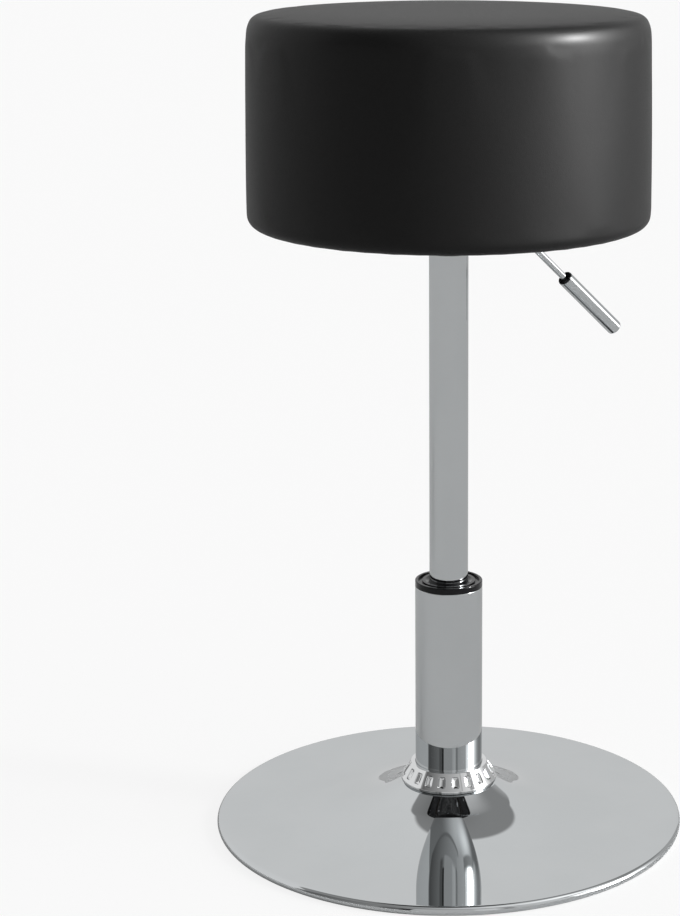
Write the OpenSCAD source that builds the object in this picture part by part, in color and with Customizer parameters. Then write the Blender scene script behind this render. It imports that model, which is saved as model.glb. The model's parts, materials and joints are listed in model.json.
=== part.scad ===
// Round swivel stool with a gas lift: a padded drum seat on a chromed column
// and a trumpet-shaped disc base. Millimetres, +Z up, the origin on the floor
// at the middle of the base. -Y is the front.

/* [Base plate] */
// Radius of the round base plate
base_r = 192.5; // [185:0.5:200]
// Height of the flat part of the plate above the floor
rim_h = 8; // [7.5:0.1:9]
// How far the rolled rim stays above the floor
rim_gap = 0.3; // [0.2:0.05:0.6]
// Thickness of the pressed sheet
sheet_t = 1.6; // [1.2:0.1:1.8]
// Radius where the rise towards the middle begins
flat_r = 165; // [150:1:175]
// Radius where the curved rise meets the straight cone
cone_foot_r = 58; // [54:0.5:64]
// Height of the plate where the cone begins
cone_foot_h = 22.8; // [21:0.1:25]
// Radius of the flat land that carries the column
hub_r = 34; // [33:0.5:36]
// Height of that flat land
hub_h = 37.5; // [36:0.1:40]
// How far the rolled rim turns back in under the plate
lip_w = 2.7; // [2:0.1:4]
// Radius of the hole in the middle of the plate
hub_hole_r = 12; // [11:0.5:13]

/* [Ballast and floor ring] */
// Thickness of the dished iron plate under the sheet
ballast_t = 4.5; // [3.5:0.1:4.8]
// Width of the rubber ring that stands on the floor
floor_ring_w = 4.7; // [4:0.1:6]

/* [Column] */
// Outer radius of the column tube
column_r = 27.6; // [26.8:0.1:28.2]
// Wall of the column tube
column_wall = 2; // [1.5:0.1:2.2]
// Height of the top of the column tube
column_top = 202; // [195:1:210]
// Thickness of the plug welded into the foot of the tube
foot_t = 12; // [10:0.5:14]
// Radius of the circle of screws that hold the foot
foot_screw_circle_r = 18; // [17:0.25:19]
// Radius of the screw thread in the foot
foot_screw_r = 2.9; // [2.4:0.1:3]
// Length of the foot screws under the head
foot_screw_len = 16; // [14:1:17]

/* [Collar] */
// Radius of the lower lip of the collar
collar_r = 39.4; // [39:0.1:41]
// Height of the underside of the collar
collar_z = 35.5; // [35.4:0.05:36.2]
// Height of the upright lip
collar_lip_h = 2; // [1.5:0.1:3]
// Radius of the flat top of the collar
collar_top_r = 31.3; // [31:0.1:33]
// Height of the flat top of the collar
collar_top = 50.4; // [48:0.1:53]
// Wall of the collar
collar_wall = 2.4; // [2.1:0.1:2.8]
// Number of sunk pockets round the collar
pocket_n = 20; // [12:1:22]
// Width of one pocket
pocket_w = 6; // [5:0.1:6.4]
// Length of one pocket along the slope
pocket_len = 9.5; // [8:0.1:10.5]
// Depth of one pocket
pocket_depth = 1.3; // [0.8:0.1:1.5]
// Corner radius of one pocket
pocket_corner_r = 1.6; // [1:0.1:2]

/* [Guide bush] */
// Thickness of the flange on top of the tube
bush_flange_h = 5; // [4.5:0.1:6]
// Length of the bush inside the tube
bush_len = 60; // [50:1:65]
// Wall of the inner sleeve of the bush
bush_sleeve_wall = 3; // [2.5:0.1:4]
// Number of ribs between the sleeve and the tube
bush_rib_n = 8; // [6:1:12]
// Thickness of one rib
bush_rib_t = 2.4; // [2:0.1:3]

/* [Gas lift] */
// Outer radius of the sliding cylinder
cylinder_r = 15.8; // [15.5:0.05:16.2]
// Wall of the cylinder
cylinder_wall = 1.5; // [1.2:0.1:2]
// Height of the lower end of the cylinder at full height
cylinder_bottom = 151.3; // [151:0.1:158]
// Height of the upper end of the cylinder
cylinder_top = 504.5; // [502.5:0.5:505]
// Radius of the cylinder at its upper end
taper_top_r = 14.1; // [13.9:0.1:14.4]
// Length of the tapered upper end
taper_len = 28; // [26:0.5:30]
// Radius of the piston rod
rod_r = 5; // [4.8:0.1:5.5]
// Radius of the thinner ends of the piston rod
rod_end_r = 4; // [3.8:0.1:4.2]
// Radius of the release pin
pin_r = 4; // [3.5:0.1:4.2]
// How far the release pin stands out of the cylinder
pin_out = 6.0; // [5.8:0.1:6.4]
// Radius of the dome on the release pin
pin_dome_r = 12; // [10:0.5:14]

/* [Thrust bearing] */
// Outer radius of the bearing races
race_r = 14; // [13:0.1:15]
// Thickness of one race
race_t = 2.5; // [2:0.1:3]
// Radius of one ball
ball_r = 1.7; // [1.5:0.05:1.8]
// Number of balls
ball_n = 12; // [8:1:14]
// Radius of the circle that the balls run on
ball_circle_r = 9.5; // [9.2:0.1:10]
// Height of the rubber stop above the bearing
bump_h = 7.2; // [6:0.1:7.5]

/* [Seat] */
// Radius of the seat at its edges
seat_r = 159.4; // [156:0.1:166]
// Height of the underside of the seat
seat_z = 502.5; // [500.5:0.5:503.5]
// Height of the padded drum, without its crown
seat_h = 166.4; // [150:0.1:175]
// How far the middle of the top stands above its edge
seat_crown = 2; // [1:0.1:6]
// How far the side swells between the edges
seat_bulge = 1; // [0.5:0.1:3]
// Radius of the top edge
seat_top_edge_r = 15; // [10:0.1:18]
// Radius of the bottom edge
seat_bottom_edge_r = 8.5; // [8:0.1:12]
// Thickness of the cover with its lining
cover_t = 1.5; // [1.2:0.1:2]
// Width of the cover that is turned in under the seat
cover_turn_w = 33.7; // [25:0.1:45]
// How far the seat board stays in from the side of the seat
board_in = 8.7; // [8:0.1:14]
// Thickness of the seat board
board_t = 15; // [12:0.5:18]
// Depth of the recess under the board
recess_h = 18; // [17:0.5:20]
// Radius of that recess
recess_r = 92; // [90:1:100]
// Thickness of the dust cloth
cloth_t = 0.8; // [0.5:0.1:1]

/* [Seat bracket] */
// Radius of the bracket's flange
bracket_r = 85; // [84:0.5:88]
// Radius of the bracket's pan
pan_r = 60; // [58:0.5:64]
// Depth of the pan with its flange
pan_h = 31.7; // [30:0.1:32.5]
// Thickness of the bracket sheet
bracket_t = 2.5; // [2:0.1:3]
// Outer radius of the taper socket
socket_r = 20; // [19:0.1:21]
// Length of the taper socket
socket_len = 26; // [24:0.5:26.5]
// Radius of the circle of seat screws
seat_screw_circle_r = 75; // [73:0.5:77]
// Radius of the seat screws
seat_screw_r = 2.9; // [2.4:0.1:3]
// Length of the seat screws under the head
seat_screw_len = 15; // [13:0.5:16]

/* [Lever] */
// Direction of the lever, counted from +X towards the back
lever_az = 36; // [0:1:90]
// Slope of the lever below level
lever_slope = 41.8; // [38:0.1:45]
// Radius of the lever rod
lever_r = 2.9; // [2.5:0.05:3.2]
// Distance of the pivot from the middle of the stool
pivot_x = 32; // [31:0.25:33]
// Distance of the bend from the middle of the stool
bend_x = 42.0; // [41:0.1:44]
// Inside radius of the bend
bend_inner_r = 4; // [3:0.5:5]
// Distance along the sloping rod from the bend to the grip
grip_start = 103.1; // [95:0.1:110]
// Length of the grip
grip_len = 74.1; // [65:0.1:85]
// Radius of the grip
grip_r = 6.5; // [6:0.05:7.5]
// Rounding of the far end of the grip
grip_end_round = 2; // [1:0.1:3]
// Radius of the pivot pin
pivot_r = 2; // [1.5:0.1:2.2]

/* [Hidden] */
// Gap between pieces that seat on each other
seat_gap = 0.3;
// Radial clearance of a shaft that turns or slides in a hole
run_gap = 0.05;
// Radial clearance of a piece fixed inside another
fixed_gap = 0.1;
// How far a cut runs past the solid that it cuts
over = 1;
$fn = 96;

plate_fn = 180;
seat_fn = 120;
collar_fn = 120;
grip_fn = 64;
bend_fn = 48;
ball_fn = 32;
corner_fn = 24;
key_fn = 6;
rim_steps = 12;
bend_steps = 6;
edge_steps = 4;
dome_steps = 36;

rim_r = (rim_h - rim_gap) / 2;
trumpet_rise = cone_foot_h - rim_h;
trumpet_steps = 28;
lip_r = base_r - rim_r - lip_w;
ballast_bottom = hub_h - sheet_t - seat_gap - ballast_t;
floor_ring_r = lip_r - seat_gap;
floor_ring_top = rim_h - sheet_t - seat_gap;
floor_ring_edge = 0.8;

column_bore_r = column_r - column_wall;
foot_top = hub_h + foot_t;
foot_hole_r = foot_screw_r + fixed_gap;
foot_clear_r = foot_screw_r + 4 * fixed_gap;
foot_head_r = 4.85;
foot_head_h = 5.8;
foot_key_r = 2.75;
foot_screw_n = 4;

collar_foot_w = 1.5;

race_gap = 2 * (ball_r + seat_gap);
lower_race_z = foot_top;
ball_z = lower_race_z + race_t + seat_gap + ball_r;
upper_race_z = lower_race_z + race_t + race_gap;
shoulder_z = upper_race_z + race_t;
cage_wall = 2.5;
cage_h = 1.6;
bump_z = shoulder_z + seat_gap;
bump_wall = race_r - rod_r - seat_gap;
bump_edge = 1.5;
clip_t = 1;
clip_r = 9;
clip_z = hub_h - seat_gap - clip_t;
clip_groove = 0.8;
clip_neck_r = rod_end_r - clip_groove;
clip_mouth_w = 5.8;
rod_tail = 2;

cylinder_bore_r = cylinder_r - cylinder_wall;
taper_z = cylinder_top - taper_len;
neck_wall = 2;
neck_r = taper_top_r - neck_wall;
cap_t = 4;
crimp_t = 1.2;
crimp_w = 2.5;
guide_h = 9;
seal_h = 4;
guide_z = cylinder_bottom + crimp_t + seat_gap;
seal_z = guide_z + guide_h + seat_gap;
piston_h = 10;
piston_z = seal_z + seal_h + 2 * seat_gap + crimp_t;
ring_h = 2.4;
ring_w = 2.3;
rivet_h = 2;
rivet_lip = 0.5;
rivet_r = rod_r + rivet_lip;
valve_h = 24;
valve_z = cylinder_top - cap_t - seat_gap - valve_h;
valve_floor = 6;
pin_top = cylinder_top + pin_out;
pin_stroke_room = 5;
pin_z = valve_z + valve_floor + pin_stroke_room;

bush_bore_r = cylinder_r + run_gap;
bush_outer_r = column_bore_r - fixed_gap;
bush_sleeve_r = bush_bore_r + bush_sleeve_wall;
bush_ring_h = 5;
bush_top = column_top + bush_flange_h;
bush_edge = 0.8;
bush_rim_w = 2.55;
bush_groove = 1.8;
bush_ring_drop = 0.2;
bush_lip_drop = 1.25;

seat_side_steps = 8;
seat_edge_steps = 9;
seat_crown_steps = 8;
board_r = seat_r - board_in;
board_z = seat_z + recess_h;
board_top = board_z + board_t;
ring_r = board_r - 2 * cover_t;
ring_z = seat_z + cover_t + seat_gap;
foam_gap = seat_gap;
cover_turn_r = seat_r - cover_turn_w;
cloth_back = 6;
cloth_lap = 15;
cloth_inner_r = recess_r + cloth_back;
cloth_outer_r = cover_turn_r + cloth_lap;
tnut_flange_r = 9.3;
tnut_flange_t = 1.4;
tnut_r = 4;
tnut_len = 12;

flange_top = board_z - seat_gap;
pan_bottom = flange_top - pan_h;
pan_corner_r = 4;
socket_top = cylinder_top + seat_gap;
socket_z = socket_top - socket_len;
seat_screw_n = 4;
seat_head_r = 5.5;
seat_head_h = 2.9;
seat_key_r = 2;
seat_clear_r = seat_screw_r + 4 * fixed_gap;
seat_screw_phase = lever_az + 180 / seat_screw_n;

paddle_r = 5.5;
paddle_h = 4;
paddle_drop = 0.4;
lever_z = pin_top + seat_gap + paddle_drop + lever_r;
eye_r = 5;
eye_w = 7;
ear_gap = 0.5;
ear_t = 2.5;
ear_w = 12;
ear_floor_t = 2.5;
ear_y = eye_w / 2 + ear_gap;
ear_clear = 1.2;
ear_top = board_z - ear_clear;
pivot_head_r = 3.2;
pivot_head_t = 1.2;
slot_w = 10;
slot_sill = 2;
slot_h = 20.5;
slot_z = pan_bottom + bracket_t + slot_sill;
bend_r = bend_inner_r + lever_r;
bend_run = bend_r * tan(lever_slope / 2);
bend_swell = 0.03;
bend_lap = 0.2;
liner_wall = 0.7;
liner_lip_t = 0.9;
liner_lip_in = 0.35;
liner_len = 14;
rod_in_grip = 60;

// Points along an arc in the plane of a section
function arc(cx, cy, r, from, to, steps) =
    [for (i = [0:steps]) let (a = from + (to - from) * i / steps) [cx + r * cos(a), cy + r * sin(a)]];

// Height and slope of the top of the base plate outside the cone
function trumpet_share(r) = (flat_r - r) / (flat_r - cone_foot_r);
function plate_z(r) = rim_h + trumpet_rise * pow(trumpet_share(r), 3);
function plate_slope(r) = 3 * trumpet_rise * pow(trumpet_share(r), 2) / (flat_r - cone_foot_r);
cone_slope = (hub_h - cone_foot_h) / (cone_foot_r - hub_r);

// A point of the plate moved down square to its surface
function sunk(r, z, slope, depth) = [r - depth * sin(atan(slope)), z - depth * cos(atan(slope))];

// The rise from the hub to the flat, at a depth below the top surface
function rise_points(depth) = concat(
    [[hub_r - depth * tan(atan(cone_slope) / 2), hub_h - depth]],
    [sunk(cone_foot_r, cone_foot_h, (cone_slope + plate_slope(cone_foot_r)) / 2, depth)],
    [for (i = [1:trumpet_steps])
        let (r = cone_foot_r + (flat_r - cone_foot_r) * i / trumpet_steps)
        sunk(r, plate_z(r), plate_slope(r), depth)]
);
function backwards(points) = [for (i = [len(points) - 1:-1:0]) points[i]];

// Copies round the middle
module around(count, radius, phase = 0) {
    for (i = [0:count - 1])
        rotate([0, 0, phase + i * 360 / count])
            translate([radius, 0, 0])
                children();
}

// A tube between two heights
module tube(outer, inner, low, high) {
    translate([0, 0, low])
        difference() {
            cylinder(r = outer, h = high - low);
            translate([0, 0, -over])
                cylinder(r = inner, h = high - low + 2 * over);
        }
}

// A solid disc between two heights
module disc(radius, low, high) {
    translate([0, 0, low])
        cylinder(r = radius, h = high - low);
}

// Holes for the foot screws
module foot_holes(radius) {
    around(foot_screw_n, foot_screw_circle_r, 180 / foot_screw_n)
        disc(radius, ballast_bottom - over, foot_top + over);
}

// Pressed and rolled sheet with its trumpet-shaped middle
module base_disc() {
    rim_x = base_r - rim_r;
    rim_z = rim_h - rim_r;
    color("gainsboro")
        difference() {
            rotate_extrude($fn = plate_fn)
                polygon(concat(
                    [[hub_hole_r, hub_h]],
                    rise_points(0),
                    arc(rim_x, rim_z, rim_r, 90, -90, rim_steps),
                    [[lip_r, rim_gap], [lip_r, rim_gap + sheet_t]],
                    arc(rim_x, rim_z, rim_r - sheet_t, -90, 90, rim_steps),
                    backwards(rise_points(sheet_t)),
                    [[hub_hole_r, hub_h - sheet_t]]
                ));
            foot_holes(foot_clear_r);
        }
}

// Dished iron plate that follows the sheet from below
module base_ballast() {
    top = sheet_t + seat_gap;
    edge_r = floor_ring_r - floor_ring_w - seat_gap;
    color("dimgray")
        difference() {
            rotate_extrude($fn = plate_fn)
                polygon(concat(
                    [[hub_hole_r, hub_h - top]],
                    rise_points(top),
                    [[edge_r, rim_h - top], [edge_r, rim_h - top - ballast_t]],
                    backwards(rise_points(top + ballast_t)),
                    [[hub_hole_r, ballast_bottom]]
                ));
            foot_holes(foot_clear_r);
        }
}

// Rubber ring between the rolled lip and the iron plate
module base_floor_ring() {
    inner = floor_ring_r - floor_ring_w;
    color("black")
        rotate_extrude($fn = plate_fn)
            polygon([
                [inner + floor_ring_edge, 0], [floor_ring_r - floor_ring_edge, 0],
                [floor_ring_r, floor_ring_edge], [floor_ring_r, floor_ring_top],
                [inner, floor_ring_top], [inner, floor_ring_edge]
            ]);
}

// Outer tube of the column
module column_tube() {
    color("silver")
        tube(column_r, column_bore_r, hub_h, column_top);
}

// Plug welded into the tube, tapped for the screws
module column_foot() {
    color("gray")
        difference() {
            disc(column_bore_r - fixed_gap, hub_h, foot_top);
            disc(rod_end_r + run_gap, hub_h - over, foot_top + over);
            foot_holes(foot_hole_r);
        }
}

// One socket-head screw standing on its head
module socket_screw(shank_r, shank_len, head_r, head_h, key_r) {
    difference() {
        union() {
            disc(head_r, -head_h, 0);
            disc(shank_r, -over / 2, shank_len);
        }
        translate([0, 0, -head_h - over])
            cylinder(r = key_r, h = over + head_h / 2, $fn = key_fn);
    }
}

// Screws up through the iron plate into the foot
module foot_screws() {
    color("darkgray")
        around(foot_screw_n, foot_screw_circle_r, 180 / foot_screw_n)
            translate([0, 0, ballast_bottom])
                socket_screw(foot_screw_r, foot_screw_len, foot_head_r, foot_head_h, foot_key_r);
}

// Outline of one pocket
module pocket_shape() {
    inner_w = pocket_w - 2 * pocket_corner_r;
    inner_len = pocket_len - 2 * pocket_corner_r;
    square([pocket_w, inner_len], center = true);
    square([inner_w, pocket_len], center = true);
    for (x = [-1, 1], y = [-1, 1])
        translate([x * inner_w / 2, y * inner_len / 2])
            circle(r = pocket_corner_r, $fn = corner_fn);
}

// Conical trim ring with a row of sunk pockets
module slotted_collar() {
    lip_top = collar_z + collar_lip_h;
    run = collar_r - collar_top_r;
    rise = collar_top - lip_top;
    lean = atan(run / rise);
    in_x = collar_wall * cos(lean);
    in_z = collar_wall * sin(lean);
    bore = column_r + fixed_gap;
    web_z = collar_top - collar_wall;
    web_r = collar_top_r - in_x + (collar_wall - in_z) * tan(lean);
    color("gainsboro")
        difference() {
            rotate_extrude($fn = collar_fn)
                polygon([
                    [collar_r - collar_foot_w, collar_z], [collar_r, collar_z], [collar_r, lip_top],
                    [collar_top_r, collar_top], [bore, collar_top], [bore, web_z],
                    [web_r, web_z], [collar_r - in_x, lip_top - in_z]
                ]);
            around(pocket_n, (collar_r + collar_top_r) / 2, 180 / pocket_n - 90)
                translate([0, 0, (lip_top + collar_top) / 2])
                    rotate([0, 90 - lean, 0])
                        translate([0, 0, -pocket_depth])
                            linear_extrude(pocket_depth + collar_wall)
                                rotate([0, 0, 90])
                                    pocket_shape();
        }
}

// Plastic bush: stepped flange, sleeve, end ring and ribs
module guide_bush() {
    ring_x = bush_sleeve_r + bush_sleeve_wall;
    rim_x = column_r - bush_rim_w;
    groove_z = bush_top - bush_groove;
    crest_z = bush_top - bush_ring_drop;
    lip_z = bush_top - bush_lip_drop;
    low = column_top - bush_len;
    color("black")
        difference() {
            union() {
                rotate_extrude()
                    polygon(concat(
                        [[bush_bore_r, column_top]],
                        [[column_r, column_top]],
                        arc(column_r - bush_edge, bush_top - bush_edge, bush_edge, 0, 90, edge_steps),
                        [
                            [rim_x, bush_top], [rim_x, groove_z],
                            [ring_x, groove_z], [ring_x, crest_z],
                            [bush_sleeve_r, crest_z], [bush_bore_r + bush_edge, lip_z],
                            [bush_bore_r, lip_z - bush_edge]
                        ]
                    ));
                disc(bush_sleeve_r, low, column_top + bush_edge);
                disc(bush_outer_r, low, low + bush_ring_h);
                disc(bush_outer_r, column_top - bush_ring_h, column_top + bush_edge);
                intersection() {
                    disc(bush_outer_r, low, column_top);
                    for (i = [0:bush_rib_n - 1])
                        rotate([0, 0, i * 360 / bush_rib_n])
                            translate([bush_bore_r + run_gap, -bush_rib_t / 2, low])
                                cube([column_bore_r - bush_bore_r, bush_rib_t, bush_len]);
                }
            }
            disc(bush_bore_r, low - over, bush_top + over);
        }
}

// Race that rests on the foot
module lower_race() {
    color("lightsteelblue")
        tube(race_r, rod_end_r + seat_gap, lower_race_z, lower_race_z + race_t);
}

// Flat ring that keeps the balls apart
module bearing_cage() {
    color("goldenrod")
        difference() {
            tube(ball_circle_r + cage_wall, ball_circle_r - cage_wall,
                ball_z - cage_h / 2, ball_z + cage_h / 2);
            around(ball_n, ball_circle_r)
                disc(ball_r + run_gap, ball_z - cage_h, ball_z + cage_h);
        }
}

// Balls of the thrust bearing
module bearing_balls() {
    color("silver")
        around(ball_n, ball_circle_r)
            translate([0, 0, ball_z])
                sphere(r = ball_r, $fn = ball_fn);
}

// Race that carries the shoulder of the rod
module upper_race() {
    color("lightsteelblue")
        tube(race_r, rod_end_r + fixed_gap, upper_race_z, shoulder_z);
}

// Open ring in the groove at the lower end of the rod
module retaining_clip() {
    color("dimgray")
        difference() {
            tube(clip_r, clip_neck_r + run_gap, clip_z, clip_z + clip_t);
            translate([0, -clip_mouth_w / 2, clip_z - over])
                cube([clip_r + over, clip_mouth_w, clip_t + 2 * over]);
        }
}

// Rod from the clip under the foot to the piston in the cylinder
module piston_rod() {
    piston_top = piston_z + piston_h;
    color("silver")
        union() {
            disc(rod_end_r, clip_z - rod_tail, clip_z - run_gap);
            disc(clip_neck_r, clip_z - rod_tail / 2, clip_z + clip_t + rod_tail / 2);
            disc(rod_end_r, clip_z + clip_t + run_gap, shoulder_z + rod_tail);
            disc(rod_r, shoulder_z, piston_z);
            disc(rod_end_r, piston_z - rod_tail, piston_top + rivet_h);
            disc(rivet_r, piston_top, piston_top + rivet_h);
        }
}

// Rubber stop that the cylinder lands on
module bump_stop() {
    inner = rod_r + seat_gap;
    color("black")
        rotate_extrude()
            polygon([
                [inner, bump_z], [inner + bump_wall, bump_z],
                [inner + bump_wall, bump_z + bump_h - bump_edge],
                [inner + bump_wall - bump_edge, bump_z + bump_h], [inner, bump_z + bump_h]
            ]);
}

// Piston head with a groove for its ring
module piston() {
    outer = cylinder_bore_r - run_gap;
    groove_z = piston_z + (piston_h - ring_h) / 2;
    color("silver")
        difference() {
            tube(outer, rod_end_r + fixed_gap, piston_z, piston_z + piston_h);
            tube(outer + over, outer - ring_w, groove_z, groove_z + ring_h);
        }
}

// Sealing ring of the piston
module piston_ring() {
    outer = cylinder_bore_r - run_gap;
    low = piston_z + (piston_h - ring_h) / 2 + fixed_gap;
    color("black")
        tube(outer, outer - ring_w + fixed_gap, low, low + ring_h - 2 * fixed_gap);
}

// Cylinder of the gas lift with its tapered upper end
module gas_cylinder() {
    color("silver")
        rotate_extrude()
            polygon([
                [cylinder_bore_r - crimp_w, cylinder_bottom], [cylinder_r, cylinder_bottom],
                [cylinder_r, taper_z], [taper_top_r, cylinder_top],
                [pin_r + run_gap, cylinder_top], [pin_r + run_gap, cylinder_top - cap_t],
                [neck_r, cylinder_top - cap_t], [neck_r, taper_z], [cylinder_bore_r, taper_z - neck_wall],
                [cylinder_bore_r, cylinder_bottom + crimp_t],
                [cylinder_bore_r - crimp_w, cylinder_bottom + crimp_t]
            ]);
}

// Bush at the lower end of the cylinder that guides the rod
module rod_guide() {
    color("dimgray")
        tube(cylinder_bore_r - fixed_gap, rod_r + run_gap, guide_z, guide_z + guide_h);
}

// Lip seal above the guide
module rod_seal() {
    color("black")
        tube(cylinder_bore_r - fixed_gap, rod_r + run_gap, seal_z, seal_z + seal_h);
}

// Valve in the neck of the cylinder
module valve_block() {
    color("goldenrod")
        difference() {
            disc(neck_r - fixed_gap, valve_z, valve_z + valve_h);
            disc(pin_r + run_gap, valve_z + valve_floor, valve_z + valve_h + over);
        }
}

// Pin that opens the valve when the lever pushes it
module release_pin() {
    dome_z = pin_top - pin_dome_r;
    color("silver")
        intersection() {
            disc(pin_r, pin_z, pin_top);
            translate([0, 0, dome_z])
                rotate_extrude()
                    polygon(concat([[0, pin_z - dome_z]], [[pin_dome_r, pin_z - dome_z]],
                        arc(0, 0, pin_dome_r, 0, 90, dome_steps)));
        }
}

// Socket that grips the taper of the cylinder
module taper_socket() {
    grow = (cylinder_r - taper_top_r) / taper_len;
    top_bore = taper_top_r + fixed_gap - seat_gap * grow;
    low_bore = taper_top_r + fixed_gap + (socket_len - seat_gap) * grow;
    color("gray")
        rotate_extrude()
            polygon([
                [low_bore, socket_z], [socket_r, socket_z], [socket_r, socket_top], [top_bore, socket_top]
            ]);
}

// Pressed pan with its flange, slotted for the lever
module seat_bracket() {
    wall_x = pan_r - bracket_t;
    low = pan_bottom;
    bend_in = pan_corner_r - bracket_t;
    knee_z = flange_top - bracket_t - pan_corner_r;
    color("gray")
        difference() {
            rotate_extrude()
                polygon(concat(
                    [[socket_r + fixed_gap, low]],
                    arc(pan_r - pan_corner_r, low + pan_corner_r, pan_corner_r, -90, 0, bend_steps),
                    arc(pan_r + pan_corner_r, knee_z, pan_corner_r, 180, 90, bend_steps),
                    [[bracket_r, flange_top - bracket_t], [bracket_r, flange_top]],
                    arc(pan_r + pan_corner_r, knee_z, pan_corner_r + bracket_t, 90, 180, bend_steps),
                    arc(wall_x - bend_in, low + pan_corner_r, bend_in, 0, -90, bend_steps),
                    [[socket_r + fixed_gap, low + bracket_t]]
                ));
            around(seat_screw_n, seat_screw_circle_r, seat_screw_phase)
                disc(seat_clear_r, low, flange_top + over);
            rotate([0, 0, lever_az])
                translate([wall_x - 2 * over, -slot_w / 2, slot_z])
                    cube([bracket_t + 4 * over, slot_w, slot_h]);
        }
}

// Screws up through the flange into the seat board
module bracket_screws() {
    color("darkgray")
        around(seat_screw_n, seat_screw_circle_r, seat_screw_phase)
            translate([0, 0, flange_top - bracket_t])
                socket_screw(seat_screw_r, seat_screw_len, seat_head_r, seat_head_h, seat_key_r);
}

// Flanged nuts sunk into the top of the board
module board_tee_nuts() {
    low = board_top - tnut_flange_t - tnut_len;
    color("lightsteelblue")
        around(seat_screw_n, seat_screw_circle_r, seat_screw_phase)
            difference() {
                union() {
                    disc(tnut_r, low, board_top);
                    disc(tnut_flange_r, board_top - tnut_flange_t, board_top);
                }
                disc(seat_screw_r + fixed_gap, low - over, board_top + over);
            }
}

// Two upright ears on a strip that is welded to the pan
module pivot_clevis() {
    floor_z = pan_bottom + bracket_t;
    color("gray")
        rotate([0, 0, lever_az])
            difference() {
                union() {
                    translate([pivot_x - ear_w / 2, -ear_y - ear_t, floor_z])
                        cube([ear_w, 2 * (ear_y + ear_t), ear_floor_t]);
                    for (side = [-1, 1])
                        translate([pivot_x - ear_w / 2, side * (ear_y + ear_t / 2) - ear_t / 2, floor_z])
                            cube([ear_w, ear_t, ear_top - floor_z]);
                }
                translate([pivot_x, 0, lever_z])
                    rotate([90, 0, 0])
                        disc(pivot_r + run_gap / 2, -ear_y - ear_t - over, ear_y + ear_t + over);
            }
}

// Pin through the ears and the eye of the lever
module pivot_pin() {
    half = ear_y + ear_t + run_gap;
    color("silver")
        rotate([0, 0, lever_az])
            translate([pivot_x, 0, lever_z])
                rotate([90, 0, 0])
                    union() {
                        disc(pivot_r, -half, half);
                        disc(pivot_head_r, half, half + pivot_head_t);
                        disc(pivot_head_r, -half - pivot_head_t, -half);
                    }
}

// Moves its children to the start of the sloping part of the rod, along +Z
module along_slope() {
    rotate([0, 0, lever_az])
        translate([bend_x, 0, lever_z])
            rotate([0, 90 + lever_slope, 0])
                children();
}

// Bent rod with a paddle over the release pin and an eye on the pivot
module lever_rod() {
    straight = bend_x - bend_run;
    color("silver")
        difference() {
            union() {
                rotate([0, 0, lever_az])
                    union() {
                        paddle();
                        translate([0, 0, lever_z])
                            rotate([0, 90, 0])
                                disc(lever_r, 0, straight + bend_lap);
                        translate([straight, 0, lever_z - bend_r])
                            rotate([90, 0, 0])
                                rotate([0, 0, 90 - lever_slope])
                                    rotate_extrude(angle = lever_slope)
                                        translate([bend_r, 0])
                                            circle(r = lever_r + bend_swell, $fn = bend_fn);
                        translate([pivot_x, 0, lever_z])
                            rotate([90, 0, 0])
                                disc(eye_r, -eye_w / 2, eye_w / 2);
                    }
                along_slope()
                    disc(lever_r, bend_run - bend_lap, grip_start + rod_in_grip);
            }
            rotate([0, 0, lever_az])
                translate([pivot_x, 0, lever_z])
                    rotate([90, 0, 0])
                        disc(pivot_r + run_gap, -eye_w, eye_w);
        }
}

// Round paddle that lies over the pin
module paddle() {
    low = lever_z - lever_r - paddle_drop;
    disc(paddle_r, low, low + paddle_h);
}

// Chromed sleeve closed and rounded at its far end
module lever_grip() {
    round_at = grip_start + grip_len - grip_end_round;
    bore = grip_r - liner_wall;
    color("gainsboro")
        along_slope()
            rotate_extrude($fn = grip_fn)
                polygon(concat(
                    [[bore, grip_start + liner_lip_t], [grip_r, grip_start + liner_lip_t]],
                    arc(grip_r - grip_end_round, round_at, grip_end_round, 0, 90, bend_steps),
                    [[0, grip_start + grip_len], [0, grip_start + rod_in_grip + seat_gap]],
                    [[lever_r + fixed_gap, grip_start + rod_in_grip + seat_gap]],
                    [[lever_r + fixed_gap, grip_start + liner_len + seat_gap]],
                    [[bore, grip_start + liner_len + seat_gap]]
                ));
}

// Black liner at the end where the rod enters the grip
module grip_liner() {
    bore = grip_r - liner_wall;
    color("black")
        along_slope()
            rotate_extrude($fn = grip_fn)
                polygon([
                    [lever_r + fixed_gap, grip_start], [grip_r - 2 * liner_lip_in, grip_start],
                    [grip_r - liner_lip_in, grip_start + liner_lip_in],
                    [grip_r - liner_lip_in, grip_start + liner_lip_t],
                    [bore - fixed_gap, grip_start + liner_lip_t],
                    [bore - fixed_gap, grip_start + liner_len],
                    [lever_r + fixed_gap, grip_start + liner_len]
                ]);
}

// Section of the padded drum, drawn in by a depth, from its underside to its crown
function drum_points(depth) = let (
        r = seat_r - depth,
        low = seat_z + depth,
        high = seat_z + seat_h - depth,
        bottom_r = seat_bottom_edge_r - depth,
        top_r = seat_top_edge_r - depth,
        side_low = low + bottom_r,
        side_h = high - top_r - side_low,
        flat = r - top_r
    ) concat(
        arc(r - bottom_r, low + bottom_r, bottom_r, -90, 0, seat_edge_steps),
        [for (i = [1:seat_side_steps - 1]) let (share = i / seat_side_steps)
            [r + seat_bulge * sin(180 * share), side_low + side_h * share]],
        arc(flat, high - top_r, top_r, 0, 90, seat_edge_steps),
        [for (i = [1:seat_crown_steps]) let (share = 1 - i / seat_crown_steps)
            [flat * share, high + seat_crown * (1 + cos(180 * share)) / 2]]
    );

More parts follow.
